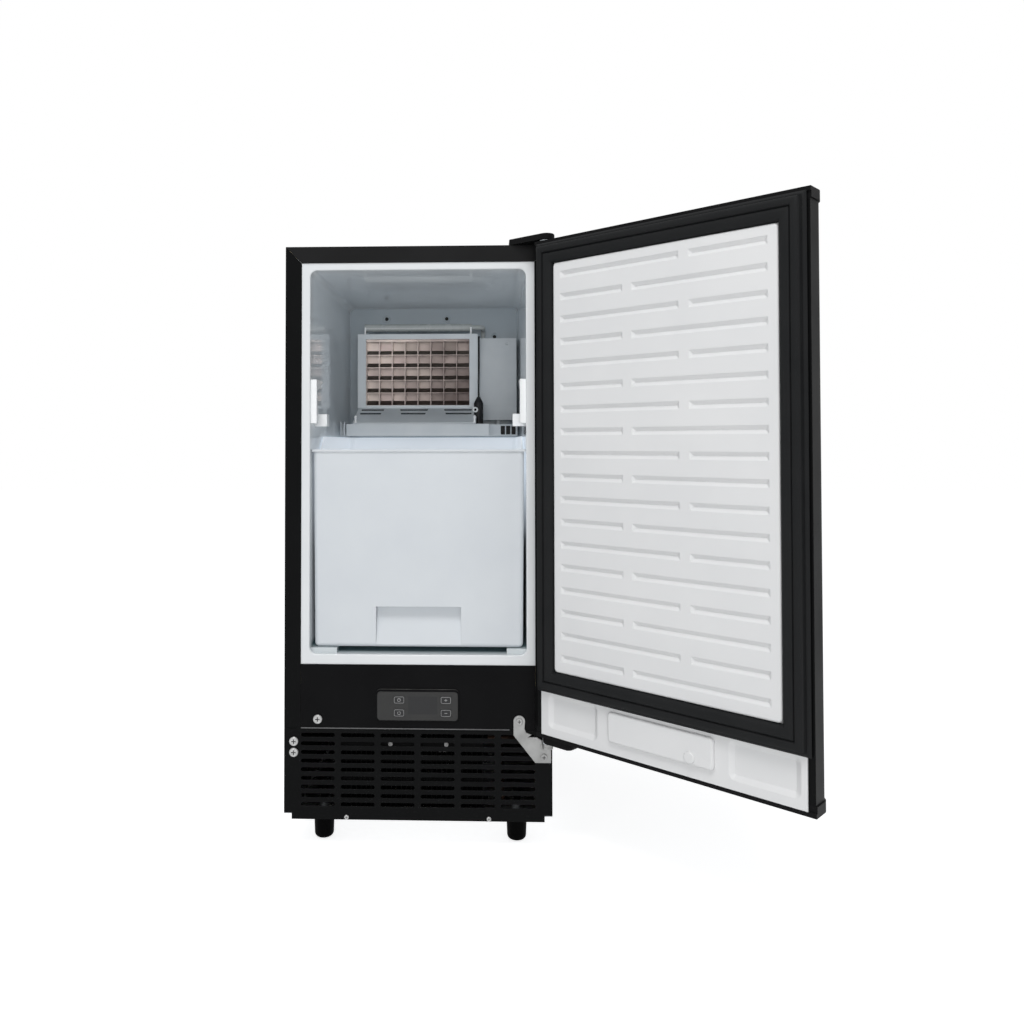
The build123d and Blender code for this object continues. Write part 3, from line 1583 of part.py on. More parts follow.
def build():
    """Every node of the machine, by name."""
    right_side = drill(side_panel(), bracket_screws[1:])
    left_side = drill(mirror(side_panel(), about=Plane.YZ), blank_screws[1:])
    parts = {
        "left_side_panel": left_side,
        "right_side_panel": right_side,
        "top_panel": top_panel(),
        "rear_panel": rear_panel(),
        "base_pan": base_pan(),
        "front_grille": front_grille(),
        "cavity_liner": cavity_liner(),
        "cabinet_foam": cabinet_foam(),
        "control_fascia": control_fascia(),
        "display_lens": display_lens(),
        "control_board": control_board(),
        "case_screws": screw_set(foot_screws + rear_screws + strap_screws),
        "blanking_screws": screw_set(blank_screws),
        "hinge_screws": screw_set(bracket_screws + lid_screws),
        "liner_screws": screw_set(wall_screws + [cover_screw]),
        "lower_hinge_bracket": lower_hinge_bracket(),
        "upper_hinge_bracket": upper_hinge_bracket(),
        "upper_hinge_cover": upper_hinge_cover(),
        "hinge_pins": hinge_pins(),
        "ice_bin": ice_bin(),
        "bin_keepers": bin_keepers(),
        "evaporator_grid": evaporator_grid(),
        "evaporator_frame": evaporator_frame(),
        "evaporator_coil": evaporator_coil(),
        "water_distributor": water_distributor(),
        "ice_slide": ice_slide(),
        "water_trough": water_trough(),
        "circulation_pump": circulation_pump(),
        "pump_hose": pump_hose(),
        "pump_cover": pump_cover(),
        "ice_sensor": ice_sensor(),
        "condenser": condenser(),
        "fan_shroud": fan_shroud(),
        "fan_motor": fan_motor(),
        "fan_blade": fan_blade(),
        "compressor": compressor(),
        "compressor_mounts": compressor_mounts(),
        "refrigerant_lines": refrigerant_lines(),
        "filter_drier": filter_drier(),
        "drain_spout": drain_spout(),
        "drain_hose": drain_hose(),
        "inlet_valve": inlet_valve(),
        "cord_gland": cord_gland(),
        "door_skin": swing(door_skin()),
        "door_foam": swing(door_foam()),
        "door_liner": swing(door_liner()),
        "door_gasket": swing(door_gasket()),
        "door_top_cap": swing(door_top_cap()),
        "door_bottom_cap": swing(door_bottom_cap()),
        "door_bushes": swing(door_bushes()),
        "door_handle": swing(door_handle()),
    }
    for name, (x, z) in key_places().items():
        parts[name] = key(x, z)
    for side, x in (("left", -leg_x), ("right", leg_x)):
        for end, y in (("front", -leg_y), ("rear", leg_y)):
            parts[f"leg_{end}_{side}"] = leg(x, y)
    return parts


os.makedirs("parts", exist_ok=True)
for node, solid in build().items():
    export_step(solid, f"parts/{node}.step")
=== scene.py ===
import math

import bmesh
import bpy
from mathutils import Matrix, Vector


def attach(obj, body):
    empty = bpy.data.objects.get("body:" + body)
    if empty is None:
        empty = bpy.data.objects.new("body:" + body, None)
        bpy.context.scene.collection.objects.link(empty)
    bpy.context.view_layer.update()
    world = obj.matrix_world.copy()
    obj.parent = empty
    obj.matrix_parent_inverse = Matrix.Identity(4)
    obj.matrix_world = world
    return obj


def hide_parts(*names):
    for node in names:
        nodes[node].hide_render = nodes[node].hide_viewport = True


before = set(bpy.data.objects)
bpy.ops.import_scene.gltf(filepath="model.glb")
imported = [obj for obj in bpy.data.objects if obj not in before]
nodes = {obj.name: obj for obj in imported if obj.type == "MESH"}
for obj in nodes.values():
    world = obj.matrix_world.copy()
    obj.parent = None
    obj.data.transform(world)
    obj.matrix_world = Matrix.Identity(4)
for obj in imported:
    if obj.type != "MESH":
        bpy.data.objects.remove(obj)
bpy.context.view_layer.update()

# Directions, with the front of the cabinet towards -Y
RIGHT = Vector((1.0, 0.0, 0.0))
BACK = Vector((0.0, 1.0, 0.0))
UP = Vector((0.0, 0.0, 1.0))

# Places shared with the solids, in metres. What is on the door is drawn closed and then swung open.
FRONT = -0.220
CAVITY_BACK = 0.137
CAVITY_TOP = 0.824
DOOR_PLANE = -0.232
DOOR_OPEN = math.radians(138.1)
PIVOT = Vector((0.182, -0.246, 0.0))
GASKET_OUTER = 0.186
GASKET_LOW = 0.2388
GASKET_HIGH = 0.8495
LENS_MID = 0.20425
KEY_FACE = FRONT - 0.0025
WINDOW_PLACE = (0.0075, LENS_MID + 0.001)
WINDOW_HALF = (0.0208, 0.0127)
GUARD_LEFT = 0.105
GUARD_BACK = 0.056
GRILLE_TOP = 0.1706
SLIDE_EDGE = 0.6115
TUBE_LOW = 0.7785
GRID_LEFT = -0.1150
GRID_LOW = 0.6421
GRID_COLUMNS = 8
GRID_ROWS = 5
CELL_WIDTH = 0.0228125
CELL_HEIGHT = 0.0223
BIN_FOOT = 0.294
BIN_GLOW_LOW = 0.42
BIN_GLOW_HIGH = 0.54


# Shader groups that several finishes share

def new_group(name, inputs, outputs):
    """Shader node group with named sockets."""
    group = bpy.data.node_groups.new(name, "ShaderNodeTree")
    for label, kind, value in inputs:
        socket = group.interface.new_socket(label, in_out="INPUT", socket_type="NodeSocket" + kind)
        socket.default_value = value
    for label, kind in outputs:
        group.interface.new_socket(label, in_out="OUTPUT", socket_type="NodeSocket" + kind)
    return group, group.nodes.new("NodeGroupInput"), group.nodes.new("NodeGroupOutput")


def add(tree, kind, **settings):
    """Node with its properties set."""
    node = tree.nodes.new(kind)
    for key, value in settings.items():
        setattr(node, key, value)
    return node


def math_node(tree, operation, first, second):
    """Math node on two sockets or numbers; returns its result."""
    node = add(tree, "ShaderNodeMath", operation=operation)
    for slot, value in zip(node.inputs, (first, second)):
        if isinstance(value, (int, float)):
            slot.default_value = value
        else:
            tree.links.new(value, slot)
    return node.outputs[0]


def spread(tree, value, low, high, to_low=0.0, to_high=1.0):
    """Value mapped from one range to another, held at the ends."""
    node = add(tree, "ShaderNodeMapRange")
    tree.links.new(value, node.inputs["Value"])
    for label, number in zip(("From Min", "From Max", "To Min", "To Max"), (low, high, to_low, to_high)):
        node.inputs[label].default_value = number
    return node.outputs["Result"]


def mix_colour(tree, share, first, second):
    """Mix of two colours; each is a socket or a colour, and so is the share."""
    node = add(tree, "ShaderNodeMix", data_type="RGBA")
    for slot, value in ((node.inputs[0], share), (node.inputs[6], first), (node.inputs[7], second)):
        if isinstance(value, bpy.types.NodeSocket):
            tree.links.new(value, slot)
        elif isinstance(value, (int, float)):
            slot.default_value = value
        else:
            slot.default_value = (*value, 1.0)
    return node.outputs[2]


def noise(tree, vector, scale, detail, roughness=0.55):
    """Noise texture; scale is a socket or a number."""
    node = add(tree, "ShaderNodeTexNoise")
    tree.links.new(vector, node.inputs["Vector"])
    if isinstance(scale, bpy.types.NodeSocket):
        tree.links.new(scale, node.inputs["Scale"])
    else:
        node.inputs["Scale"].default_value = scale
    node.inputs["Detail"].default_value = detail
    node.inputs["Roughness"].default_value = roughness
    return node.outputs["Fac"]


def object_axes(tree):
    """Place on a piece as X, Y and Z, in the frame of the whole part at rest."""
    axes = add(tree, "ShaderNodeSeparateXYZ")
    tree.links.new(add(tree, "ShaderNodeTexCoord").outputs["Object"], axes.inputs[0])
    return axes.outputs


def facing_axes(tree):
    """Direction that a face looks in, as X, Y and Z."""
    axes = add(tree, "ShaderNodeSeparateXYZ")
    tree.links.new(add(tree, "ShaderNodeNewGeometry").outputs["Normal"], axes.inputs[0])
    return axes.outputs


def make_grain():
    """Fine surface grain with a slow change of tone."""
    group, enter, leave = new_group(
        "surface_grain",
        [("Grain Scale", "Float", 1000.0), ("Patch Scale", "Float", 12.0)],
        [("Height", "Float"), ("Tone", "Float")],
    )
    place = add(group, "ShaderNodeTexCoord").outputs["Object"]
    group.links.new(noise(group, place, enter.outputs["Grain Scale"], 3.0), leave.inputs["Height"])
    patches = noise(group, place, enter.outputs["Patch Scale"], 3.0)
    group.links.new(spread(group, patches, 0.32, 0.68), leave.inputs["Tone"])
    return group


def make_edge():
    """Rounded edges for the light to catch, and a broken mask of where they are rubbed."""
    group, enter, leave = new_group(
        "rubbed_edge",
        [("Width", "Float", 0.001)],
        [("Mask", "Float"), ("Normal", "Vector")],
    )
    bevel = add(group, "ShaderNodeBevel", samples=4)
    group.links.new(enter.outputs["Width"], bevel.inputs["Radius"])
    flat = add(group, "ShaderNodeNewGeometry").outputs["Normal"]
    turn = add(group, "ShaderNodeVectorMath", operation="DOT_PRODUCT")
    group.links.new(bevel.outputs["Normal"], turn.inputs[0])
    group.links.new(flat, turn.inputs[1])
    edge = spread(group, turn.outputs["Value"], 0.995, 0.80)
    place = add(group, "ShaderNodeTexCoord").outputs["Object"]
    broken = spread(group, noise(group, place, 90.0, 4.0), 0.40, 0.62)
    group.links.new(math_node(group, "MULTIPLY", edge, broken), leave.inputs["Mask"])
    group.links.new(bevel.outputs["Normal"], leave.inputs["Normal"])
    return group


def make_dust():
    """Mask of thin dust that settles on faces that look up."""
    group, enter, leave = new_group("settled_dust", [("Amount", "Float", 0.1)], [("Mask", "Float")])
    upward = spread(group, facing_axes(group)["Z"], 0.45, 1.0)
    place = add(group, "ShaderNodeTexCoord").outputs["Object"]
    cloud = spread(group, noise(group, place, 28.0, 6.0, 0.65), 0.35, 0.75)
    lying = math_node(group, "MULTIPLY", upward, cloud)
    group.links.new(math_node(group, "MULTIPLY", lying, enter.outputs["Amount"]), leave.inputs["Mask"])
    return group


def make_lines():
    """Fine drawn lines, stretched along one direction."""
    group, enter, leave = new_group("drawn_lines", [("Stretch", "Vector", (4.0, 900.0, 900.0))],
                                    [("Height", "Float")])
    place = add(group, "ShaderNodeTexCoord").outputs["Object"]
    stretch = add(group, "ShaderNodeVectorMath", operation="MULTIPLY")
    group.links.new(place, stretch.inputs[0])
    group.links.new(enter.outputs["Stretch"], stretch.inputs[1])
    group.links.new(noise(group, stretch.outputs["Vector"], 1.0, 4.0), leave.inputs["Height"])
    return group


grain_group = make_grain()
edge_group = make_edge()
dust_group = make_dust()
lines_group = make_lines()


def place_group(tree, group, **values):
    """Group node in a material, with its own values."""
    node = add(tree, "ShaderNodeGroup", node_tree=group)
    for label, value in values.items():
        node.inputs[label.replace("_", " ")].default_value = value
    return node


# Finishes

DUST = (0.42, 0.41, 0.39)


def start_material(name):
    """New material with its shader."""
    material = bpy.data.materials.new(name)
    material.use_nodes = True
    tree = material.node_tree
    return material, tree, tree.nodes["Principled BSDF"]


def add_relief(tree, shader, height, strength, distance, normal=None):
    """Bump on a shader, over a normal of its own if one is given. Distance is in metres."""
    relief = add(tree, "ShaderNodeBump")
    relief.inputs["Strength"].default_value = strength
    relief.inputs["Distance"].default_value = distance
    tree.links.new(height, relief.inputs["Height"])
    if normal is not None:
        tree.links.new(normal, relief.inputs["Normal"])
    tree.links.new(relief.outputs["Normal"], shader.inputs["Normal"])


def finish(name, colour, second, rough, grain, bump, edge_width, edge_colour=None, patch=12.0, dust=0.0,
           metallic=0.0, specular=0.5, lines=None):
    """Finish with grain, slow change of tone, rounded and rubbed edges, and a little dust.
    Grain is in features per metre, and bump in metres."""
    material, tree, shader = start_material(name)
    surface = place_group(tree, grain_group, Grain_Scale=grain, Patch_Scale=patch)
    edge = place_group(tree, edge_group, Width=edge_width)
    tone = surface.outputs["Tone"]
    tint = mix_colour(tree, tone, colour, second)
    if edge_colour is not None:
        tint = mix_colour(tree, edge.outputs["Mask"], tint, edge_colour)
    if dust:
        film = place_group(tree, dust_group, Amount=dust)
        tint = mix_colour(tree, film.outputs["Mask"], tint, DUST)
    tree.links.new(tint, shader.inputs["Base Color"])
    tree.links.new(spread(tree, tone, 0.0, 1.0, *rough), shader.inputs["Roughness"])
    height = surface.outputs["Height"]
    if lines is not None:
        height = place_group(tree, lines_group, Stretch=lines).outputs["Height"]
    add_relief(tree, shader, height, 0.5, bump, edge.outputs["Normal"])
    shader.inputs["Metallic"].default_value = metallic
    shader.inputs["Specular IOR Level"].default_value = specular
    return material


def liner_finish():
    """Glossy moulded white: lightest on its front flange and cooler on the cavity's sides and top, with
    painted shade that makes it greyer on its back wall and floor and darkest low down, round the foot of the
    bin."""
    material, tree, shader = start_material("liner_plastic_white")
    axes = object_axes(tree)
    facing = facing_axes(tree)
    inside = spread(tree, axes["Y"], FRONT + 0.002, FRONT + 0.030)
    surface = place_group(tree, grain_group, Grain_Scale=60.0, Patch_Scale=9.0)
    edge = place_group(tree, edge_group, Width=0.0012)
    flange = mix_colour(tree, surface.outputs["Tone"], (0.77, 0.785, 0.795), (0.74, 0.76, 0.775))
    # Painted shade: the back wall and the floor, the faces that look forwards and up, get a greyer white
    shaded_faces = math_node(tree, "MAXIMUM", spread(tree, facing["Y"], -0.3, -0.8),
                     spread(tree, facing["Z"], 0.3, 0.8))
    sides = mix_colour(tree, surface.outputs["Tone"], (0.86, 0.90, 0.925), (0.83, 0.875, 0.905))
    walls = mix_colour(tree, shaded_faces, sides, (0.43, 0.49, 0.535))
    # Painted shade: darkest low down, round the foot of the bin
    low = spread(tree, axes["Z"], BIN_FOOT, BIN_FOOT - 0.008)
    walls = mix_colour(tree, low, walls, (0.20, 0.30, 0.33))
    tree.links.new(mix_colour(tree, inside, flange, walls), shader.inputs["Base Color"])
    tree.links.new(spread(tree, surface.outputs["Tone"], 0.0, 1.0, 0.03, 0.06), shader.inputs["Roughness"])
    add_relief(tree, shader, surface.outputs["Height"], 0.4, 0.0002, edge.outputs["Normal"])
    return material


def bin_finish():
    """Moulded white, with painted light: an emission glow on its inner walls, so that the bin looks lit
    inside.
    """
    material = finish("bin_plastic_white", (0.67, 0.70, 0.725), (0.64, 0.67, 0.70), (0.30, 0.40),
                      900.0, 0.00004, 0.0012, patch=10.0)
    tree = material.node_tree
    shader = tree.nodes["Principled BSDF"]
    axes = object_axes(tree)
    # Painted light: the bin's inner walls, behind its front and high up, glow as if lit, though the bin is
    # no lamp
    inside = math_node(tree, "MULTIPLY", spread(tree, axes["Y"], FRONT + 0.020, FRONT + 0.060),
                       spread(tree, axes["Z"], BIN_GLOW_LOW, BIN_GLOW_HIGH))
    tree.links.new(mix_colour(tree, inside, (0.0, 0.0, 0.0), (0.325, 0.35, 0.38)),
                   shader.inputs["Emission Color"])
    shader.inputs["Emission Strength"].default_value = 1.0
    return material


def lens_finish():
    """Smoked lens with a darker window for the figures."""
    material, tree, shader = start_material("smoked_lens")
    axes = object_axes(tree)
    shares = []
    for axis, middle, half in zip("XZ", WINDOW_PLACE, WINDOW_HALF):
        away = math_node(tree, "ABSOLUTE", math_node(tree, "SUBTRACT", axes[axis], middle), 0.0)
        shares.append(spread(tree, away, half, half - 0.0004))
    inside = math_node(tree, "MULTIPLY", *shares)
    surface = place_group(tree, grain_group, Grain_Scale=700.0, Patch_Scale=25.0)
    smoke = mix_colour(tree, surface.outputs["Tone"], (0.020, 0.020, 0.020), (0.027, 0.027, 0.026))
    tree.links.new(mix_colour(tree, inside, smoke, (0.016, 0.016, 0.017)), shader.inputs["Base Color"])
    tree.links.new(spread(tree, surface.outputs["Tone"], 0.0, 1.0, 0.34, 0.42), shader.inputs["Roughness"])
    shader.inputs["Specular IOR Level"].default_value = 0.3
    return material


def grid_finish():
    """Plated copper: pinkish cream with a random tone per cell, darkening to brown towards the right and the
    bottom as a painted reflection, with a painted highlight on faces that look right and painted shade on
    the sloping floors of the cells."""
    material, tree, shader = start_material("plated_copper")
    axes = object_axes(tree)
    facing = facing_axes(tree)
    across = spread(tree, axes["X"], GRID_LEFT, GRID_LEFT + GRID_COLUMNS * CELL_WIDTH)
    down = spread(tree, axes["Z"], GRID_LOW + GRID_ROWS * CELL_HEIGHT, GRID_LOW)
    surface = place_group(tree, grain_group, Grain_Scale=420.0, Patch_Scale=30.0)
    cells = add(tree, "ShaderNodeCombineXYZ")
    for axis, start, pitch in (("X", GRID_LEFT, CELL_WIDTH), ("Z", GRID_LOW, CELL_HEIGHT)):
        count = math_node(tree, "DIVIDE", math_node(tree, "SUBTRACT", axes[axis], start), pitch)
        tree.links.new(math_node(tree, "FLOOR", count, 0.0), cells.inputs[axis])
    each = add(tree, "ShaderNodeTexWhiteNoise")
    tree.links.new(cells.outputs[0], each.inputs["Vector"])
    # Painted reflection: browner and less metallic towards the right and the bottom, mixed with random tone
    # per patch and per cell
    painted_reflection_and_tone = math_node(tree, "MULTIPLY", across, 0.62)
    for value, share in ((down, 0.20), (surface.outputs["Tone"], 0.10), (each.outputs["Value"], 0.14)):
        painted_reflection_and_tone = math_node(tree, "ADD", painted_reflection_and_tone, math_node(tree, "MULTIPLY", value, share))
    cream = mix_colour(tree, each.outputs["Color"], (0.90, 0.79, 0.71), (0.88, 0.72, 0.68))
    tint = mix_colour(tree, spread(tree, painted_reflection_and_tone, 0.10, 0.95), cream, (0.17, 0.125, 0.115))
    # Painted highlight on the faces that look to the right
    bright = mix_colour(tree, across, (1.0, 0.96, 0.92), (0.62, 0.50, 0.46))
    tint = mix_colour(tree, spread(tree, facing["X"], 0.3, 0.8), tint, bright)
    # Painted shade on the sloping floors of the cells, darker towards the bottom
    slope = spread(tree, math_node(tree, "ABSOLUTE", facing["Z"], 0.0), 0.3, 0.8)
    painted_floor_shade = mix_colour(tree, down, (0.075, 0.072, 0.058), (0.040, 0.026, 0.020))
    tint = mix_colour(tree, slope, tint, painted_floor_shade)
    tree.links.new(tint, shader.inputs["Base Color"])
    tree.links.new(spread(tree, surface.outputs["Tone"], 0.0, 1.0, 0.31, 0.44), shader.inputs["Roughness"])
    add_relief(tree, shader, surface.outputs["Height"], 0.25, 0.00004)
    # Metallic share follows the same painted reflection: less metal towards the right and the bottom, none
    # on sloping faces
    metal_share = spread(tree, painted_reflection_and_tone, 0.15, 0.80, 0.72, 0.12)
    unsloped_share = math_node(tree, "SUBTRACT", 1.0, slope)
    tree.links.new(math_node(tree, "MULTIPLY", metal_share, unsloped_share), shader.inputs["Metallic"])
    return material


powder_black = finish("powder_coat_black", (0.0030, 0.0032, 0.0034), (0.0044, 0.0046, 0.0048), (0.36, 0.46),
                      1500.0, 0.00005, 0.0010, (0.016, 0.016, 0.017), dust=0.04, specular=0.055)
# Painted light: a lighter, glossier copy of the black powder coat for the top panel, lit from above
lit_powder_black = finish("powder_coat_black_painted_light", (0.0045, 0.0045, 0.0048), (0.0062, 0.0062, 0.0066), (0.34, 0.44),
                     1500.0, 0.00005, 0.0010, (0.020, 0.020, 0.021), dust=0.04, specular=0.16)
satin_black = finish("satin_plastic_black", (0.0036, 0.0036, 0.0040), (0.0054, 0.0054, 0.0058), (0.42, 0.54),
                     2600.0, 0.00004, 0.0008, (0.014, 0.014, 0.015), dust=0.05, specular=0.07)
# The heavy dust greys the fascia's upward faces: partly settled dust, partly a painted highlight along the
# bezel's top edges
fascia_black = finish("fascia_plastic_black", (0.0036, 0.0036, 0.0040), (0.0054, 0.0054, 0.0058),
                      (0.40, 0.50), 2600.0, 0.00004, 0.0008, (0.020, 0.020, 0.021), dust=0.45, specular=0.05)
foot_black = finish("foot_plastic_black", (0.0016, 0.0016, 0.0017), (0.0026, 0.0026, 0.0027), (0.44, 0.58),
                    1800.0, 0.00008, 0.0010, (0.02, 0.02, 0.02), dust=0.10, specular=0.02)
liner_white = liner_finish()
bin_white = bin_finish()
trim_white = finish("fitting_plastic_white", (0.69, 0.725, 0.75), (0.64, 0.68, 0.71), (0.28, 0.40),
                    1200.0, 0.00005, 0.0006, patch=20.0)
door_white = finish("door_liner_white", (0.75, 0.75, 0.75), (0.72, 0.722, 0.725), (0.34, 0.46),
                    650.0, 0.00006, 0.0016, patch=9.0)
plated_steel = finish("zinc_plated_steel", (0.37, 0.37, 0.365), (0.29, 0.29, 0.285), (0.30, 0.44),
                      900.0, 0.00003, 0.0006, (0.62, 0.62, 0.61), patch=45.0, metallic=0.40)
brushed_steel = finish("brushed_steel", (0.60, 0.60, 0.60), (0.54, 0.54, 0.545), (0.24, 0.34),
                       900.0, 0.00003, 0.0006, patch=30.0, metallic=1.0, lines=(700.0, 700.0, 6.0))
zinc_sheet = finish("zinc_sheet", (0.40, 0.41, 0.42), (0.30, 0.31, 0.32), (0.34, 0.52),
                    500.0, 0.00004, 0.0008, patch=70.0, dust=0.15, metallic=1.0)
# Black oxide of the liner screws, also used as painted shade inside the cross recesses of the front screws
dark_screw = finish("black_oxide_and_recess_shade", (0.020, 0.020, 0.021), (0.040, 0.038, 0.036), (0.35, 0.50),
                    1500.0, 0.00003, 0.0003, (0.10, 0.10, 0.10), metallic=0.6)
copper = finish("bare_copper", (0.72, 0.40, 0.27), (0.48, 0.25, 0.17), (0.26, 0.44),
                700.0, 0.00004, 0.0004, patch=60.0, dust=0.05, metallic=1.0)
fin_metal = finish("condenser_fin", (0.0040, 0.0040, 0.0042), (0.0075, 0.0075, 0.0077), (0.45, 0.6),
                   900.0, 0.00003, 0.0003, (0.015, 0.015, 0.015), patch=50.0, specular=0.05)
dull_copper = finish("dull_copper", (0.16, 0.090, 0.062), (0.085, 0.052, 0.040), (0.42, 0.60),
                     700.0, 0.00004, 0.0004, patch=60.0, dust=0.05, metallic=0.7)
bright_screw = finish("bright_zinc", (0.50, 0.50, 0.495), (0.40, 0.40, 0.395), (0.28, 0.40),
                      900.0, 0.00003, 0.0004, patch=200.0, metallic=0.40)
# Black of the ice-level sensor, also used as painted shade on the trough wall behind the slatted guard
sensor_black_and_slot_shade = finish("sensor_plastic_black_and_slot_shade", (0.016, 0.016, 0.017), (0.024, 0.024, 0.025), (0.16, 0.26),
                      900.0, 0.00003, 0.0010, (0.09, 0.09, 0.09), patch=60.0, specular=0.2)
# Light grey of the fascia bead, a painted highlight
highlight_grey = finish("painted_highlight_grey", (0.120, 0.120, 0.122), (0.085, 0.085, 0.087), (0.30, 0.42),
                   1800.0, 0.00002, 0.0003, patch=20.0)
enamel_black = finish("black_enamel", (0.010, 0.010, 0.011), (0.016, 0.016, 0.017), (0.22, 0.36),
                      260.0, 0.0001, 0.0015, (0.05, 0.05, 0.05), dust=0.2)
rubber_black = finish("gasket_rubber", (0.0100, 0.0106, 0.0112), (0.0135, 0.0140, 0.0145), (0.46, 0.60),
                      1400.0, 0.00005, 0.0006, patch=16.0, specular=0.10)
hose_clear = finish("hose_silicone", (0.50, 0.525, 0.52), (0.42, 0.445, 0.44), (0.22, 0.34),
                    500.0, 0.00004, 0.0004, patch=30.0)
slot_dark = finish("slot_shadow", (0.055, 0.062, 0.066), (0.040, 0.046, 0.050), (0.50, 0.62),
                   900.0, 0.00003, 0.0003, patch=40.0, specular=0.2)
keeper_white = finish("keeper_plastic_white", (0.93, 0.94, 0.945), (0.90, 0.915, 0.92), (0.30, 0.40),
                      1200.0, 0.00005, 0.0006, patch=20.0)
foam_yellow = finish("insulation_foam", (0.72, 0.62, 0.38), (0.62, 0.52, 0.30), (0.80, 0.92),
                     260.0, 0.0006, 0.0010, patch=30.0)
board_green = finish("circuit_board", (0.012, 0.085, 0.035), (0.018, 0.11, 0.05), (0.25, 0.40),
                     900.0, 0.00003, 0.0003, (0.45, 0.36, 0.12), patch=60.0)
print_white = finish("key_print", (0.34, 0.34, 0.34), (0.29, 0.29, 0.29), (0.50, 0.62),
                     2500.0, 0.00001, 0.0001, patch=300.0)
key_black = finish("key_face", (0.020, 0.020, 0.021), (0.026, 0.026, 0.027), (0.32, 0.42),
                   1800.0, 0.00002, 0.0004, patch=80.0, specular=0.25)
smoked_lens = lens_finish()
plated_copper = grid_finish()

node_finish = {
    powder_black: ("left_side_panel", "right_side_panel", "front_grille", "door_skin",
                   "upper_hinge_bracket"),
    lit_powder_black: ("top_panel",),
    zinc_sheet: ("rear_panel", "base_pan"),
    fascia_black: ("control_fascia",),
    satin_black: ("door_top_cap", "door_bottom_cap", "upper_hinge_cover", "fan_shroud",
                  "fan_blade", "cord_gland"),
    sensor_black_and_slot_shade: ("ice_sensor",),
    foot_black: ("leg_front_left", "leg_front_right", "leg_rear_left", "leg_rear_right"),
    liner_white: ("cavity_liner",),
    bin_white: ("ice_bin",),
    trim_white: ("evaporator_frame", "ice_slide", "water_trough", "pump_cover", "circulation_pump",
                 "inlet_valve", "door_bushes", "drain_spout"),
    door_white: ("door_liner",),
    plated_steel: ("lower_hinge_bracket", "hinge_screws", "hinge_pins"),
    bright_screw: ("blanking_screws", "case_screws"),
    brushed_steel: ("door_handle",),
    dark_screw: ("liner_screws",),
    plated_copper: ("evaporator_grid",),
    copper: ("evaporator_coil", "filter_drier"),
    dull_copper: ("refrigerant_lines",),
    fin_metal: ("condenser",),
    enamel_black: ("fan_motor", "compressor"),
    rubber_black: ("door_gasket", "compressor_mounts"),
    hose_clear: ("pump_hose", "drain_hose", "water_distributor"),
    keeper_white: ("bin_keepers",),
    foam_yellow: ("cabinet_foam", "door_foam"),
    board_green: ("control_board",),
    key_black: ("key_timer", "key_power", "key_plus", "key_minus"),
    smoked_lens: ("display_lens",),
}
for material, names in node_finish.items():
    for name in names:
        mesh = nodes[name].data
        mesh.materials.clear()
        mesh.materials.append(material)


def repaint(name, material, chosen):
    """Give a second finish to the faces of a node that pass a test on their centre and normal."""
    mesh = nodes[name].data
    mesh.materials.append(material)
    slot = len(mesh.materials) - 1
    for face in mesh.polygons:
        if chosen(face.center, face.normal):
            face.material_index = slot


# Screws seen from the front: place across, distance of the seat in front of the cabinet, radius of the head
# and its height. One entry stands for all the screws above each other.
FRONT_SCREWS = {
    "blanking_screws": ((-0.1421, 0.0, 0.0064, 0.0024), (-0.1762, 0.0, 0.0064, 0.0024)),
    "hinge_screws": ((0.1436, 0.0025, 0.0050, 0.0022), (0.1782, 0.0025, 0.0050, 0.0022)),
    "case_screws": ((-0.1007, 0.0, 0.0032, 0.0016), (0.1007, 0.0, 0.0032, 0.0016)),
}
# Cross recess of a screw: its reach as a share of the head's radius, the depth where it starts, and its
# floor and end as shares of the head's height
RECESS_REACH = 0.52
RECESS_START = 0.0001
RECESS_FLOOR = 0.42
RECESS_END = 0.62


def in_recess(columns):
    """Test for faces inside the cross recess of screws whose heads stand in the given columns."""
    def test(place, normal):
        for x, seat, radius, height in columns:
            depth = place.y - (FRONT - seat - height)
            if abs(place.x - x) < radius * RECESS_REACH and RECESS_START < depth < height * RECESS_END:
                return abs(normal.y) < 0.3 or depth > height * RECESS_FLOOR
        return False
    return test


# Painted shade: the faces inside each cross recess get the dark black-oxide finish
for screw_name, columns in FRONT_SCREWS.items():
    repaint(screw_name, dark_screw, in_recess(columns))
repaint("ice_slide", slot_dark, lambda place, normal: normal.y < -0.9 and place.z > SLIDE_EDGE)
repaint("water_distributor", keeper_white, lambda place, normal: normal.y < -0.9 and place.z < TUBE_LOW)
repaint("liner_screws", trim_white, lambda place, normal: place.y < CAVITY_BACK - 0.02)
# Painted shade: the face of the trough's wall behind the slatted guard gets the sensor's black, so the slots
# look dark
repaint("water_trough", sensor_black_and_slot_shade, lambda place, normal: (
    place.x > GUARD_LEFT and abs(place.y - GUARD_BACK) < 0.0004 and normal.y < -0.9))


# Pieces made here

def door_place():
    """Turn from the closed door to where it stands open."""
    return Matrix.Translation(PIVOT) @ Matrix.Rotation(DOOR_OPEN, 4, "Z") @ Matrix.Translation(-PIVOT)


def new_piece(name, shape, material, body, smooth_below=35.0):
    """Object made from a bmesh, riding on a body."""
    mesh = bpy.data.meshes.new(name)
    bmesh.ops.recalc_face_normals(shape, faces=shape.faces)
    shape.to_mesh(mesh)
    shape.free()
    mesh.polygons.foreach_set("use_smooth", [True] * len(mesh.polygons))
    mesh.set_sharp_from_angle(angle=math.radians(smooth_below))
    mesh.materials.append(material)
    piece = bpy.data.objects.new(name, mesh)
    bpy.context.scene.collection.objects.link(piece)
    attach(piece, body)
    return piece


def loop_faces(shape, first, second):
    """Band of faces between two closed loops of vertices."""
    count = len(first)
    for index in range(count):
        after = (index + 1) % count
        shape.faces.new((first[index], first[after], second[after], second[index]))


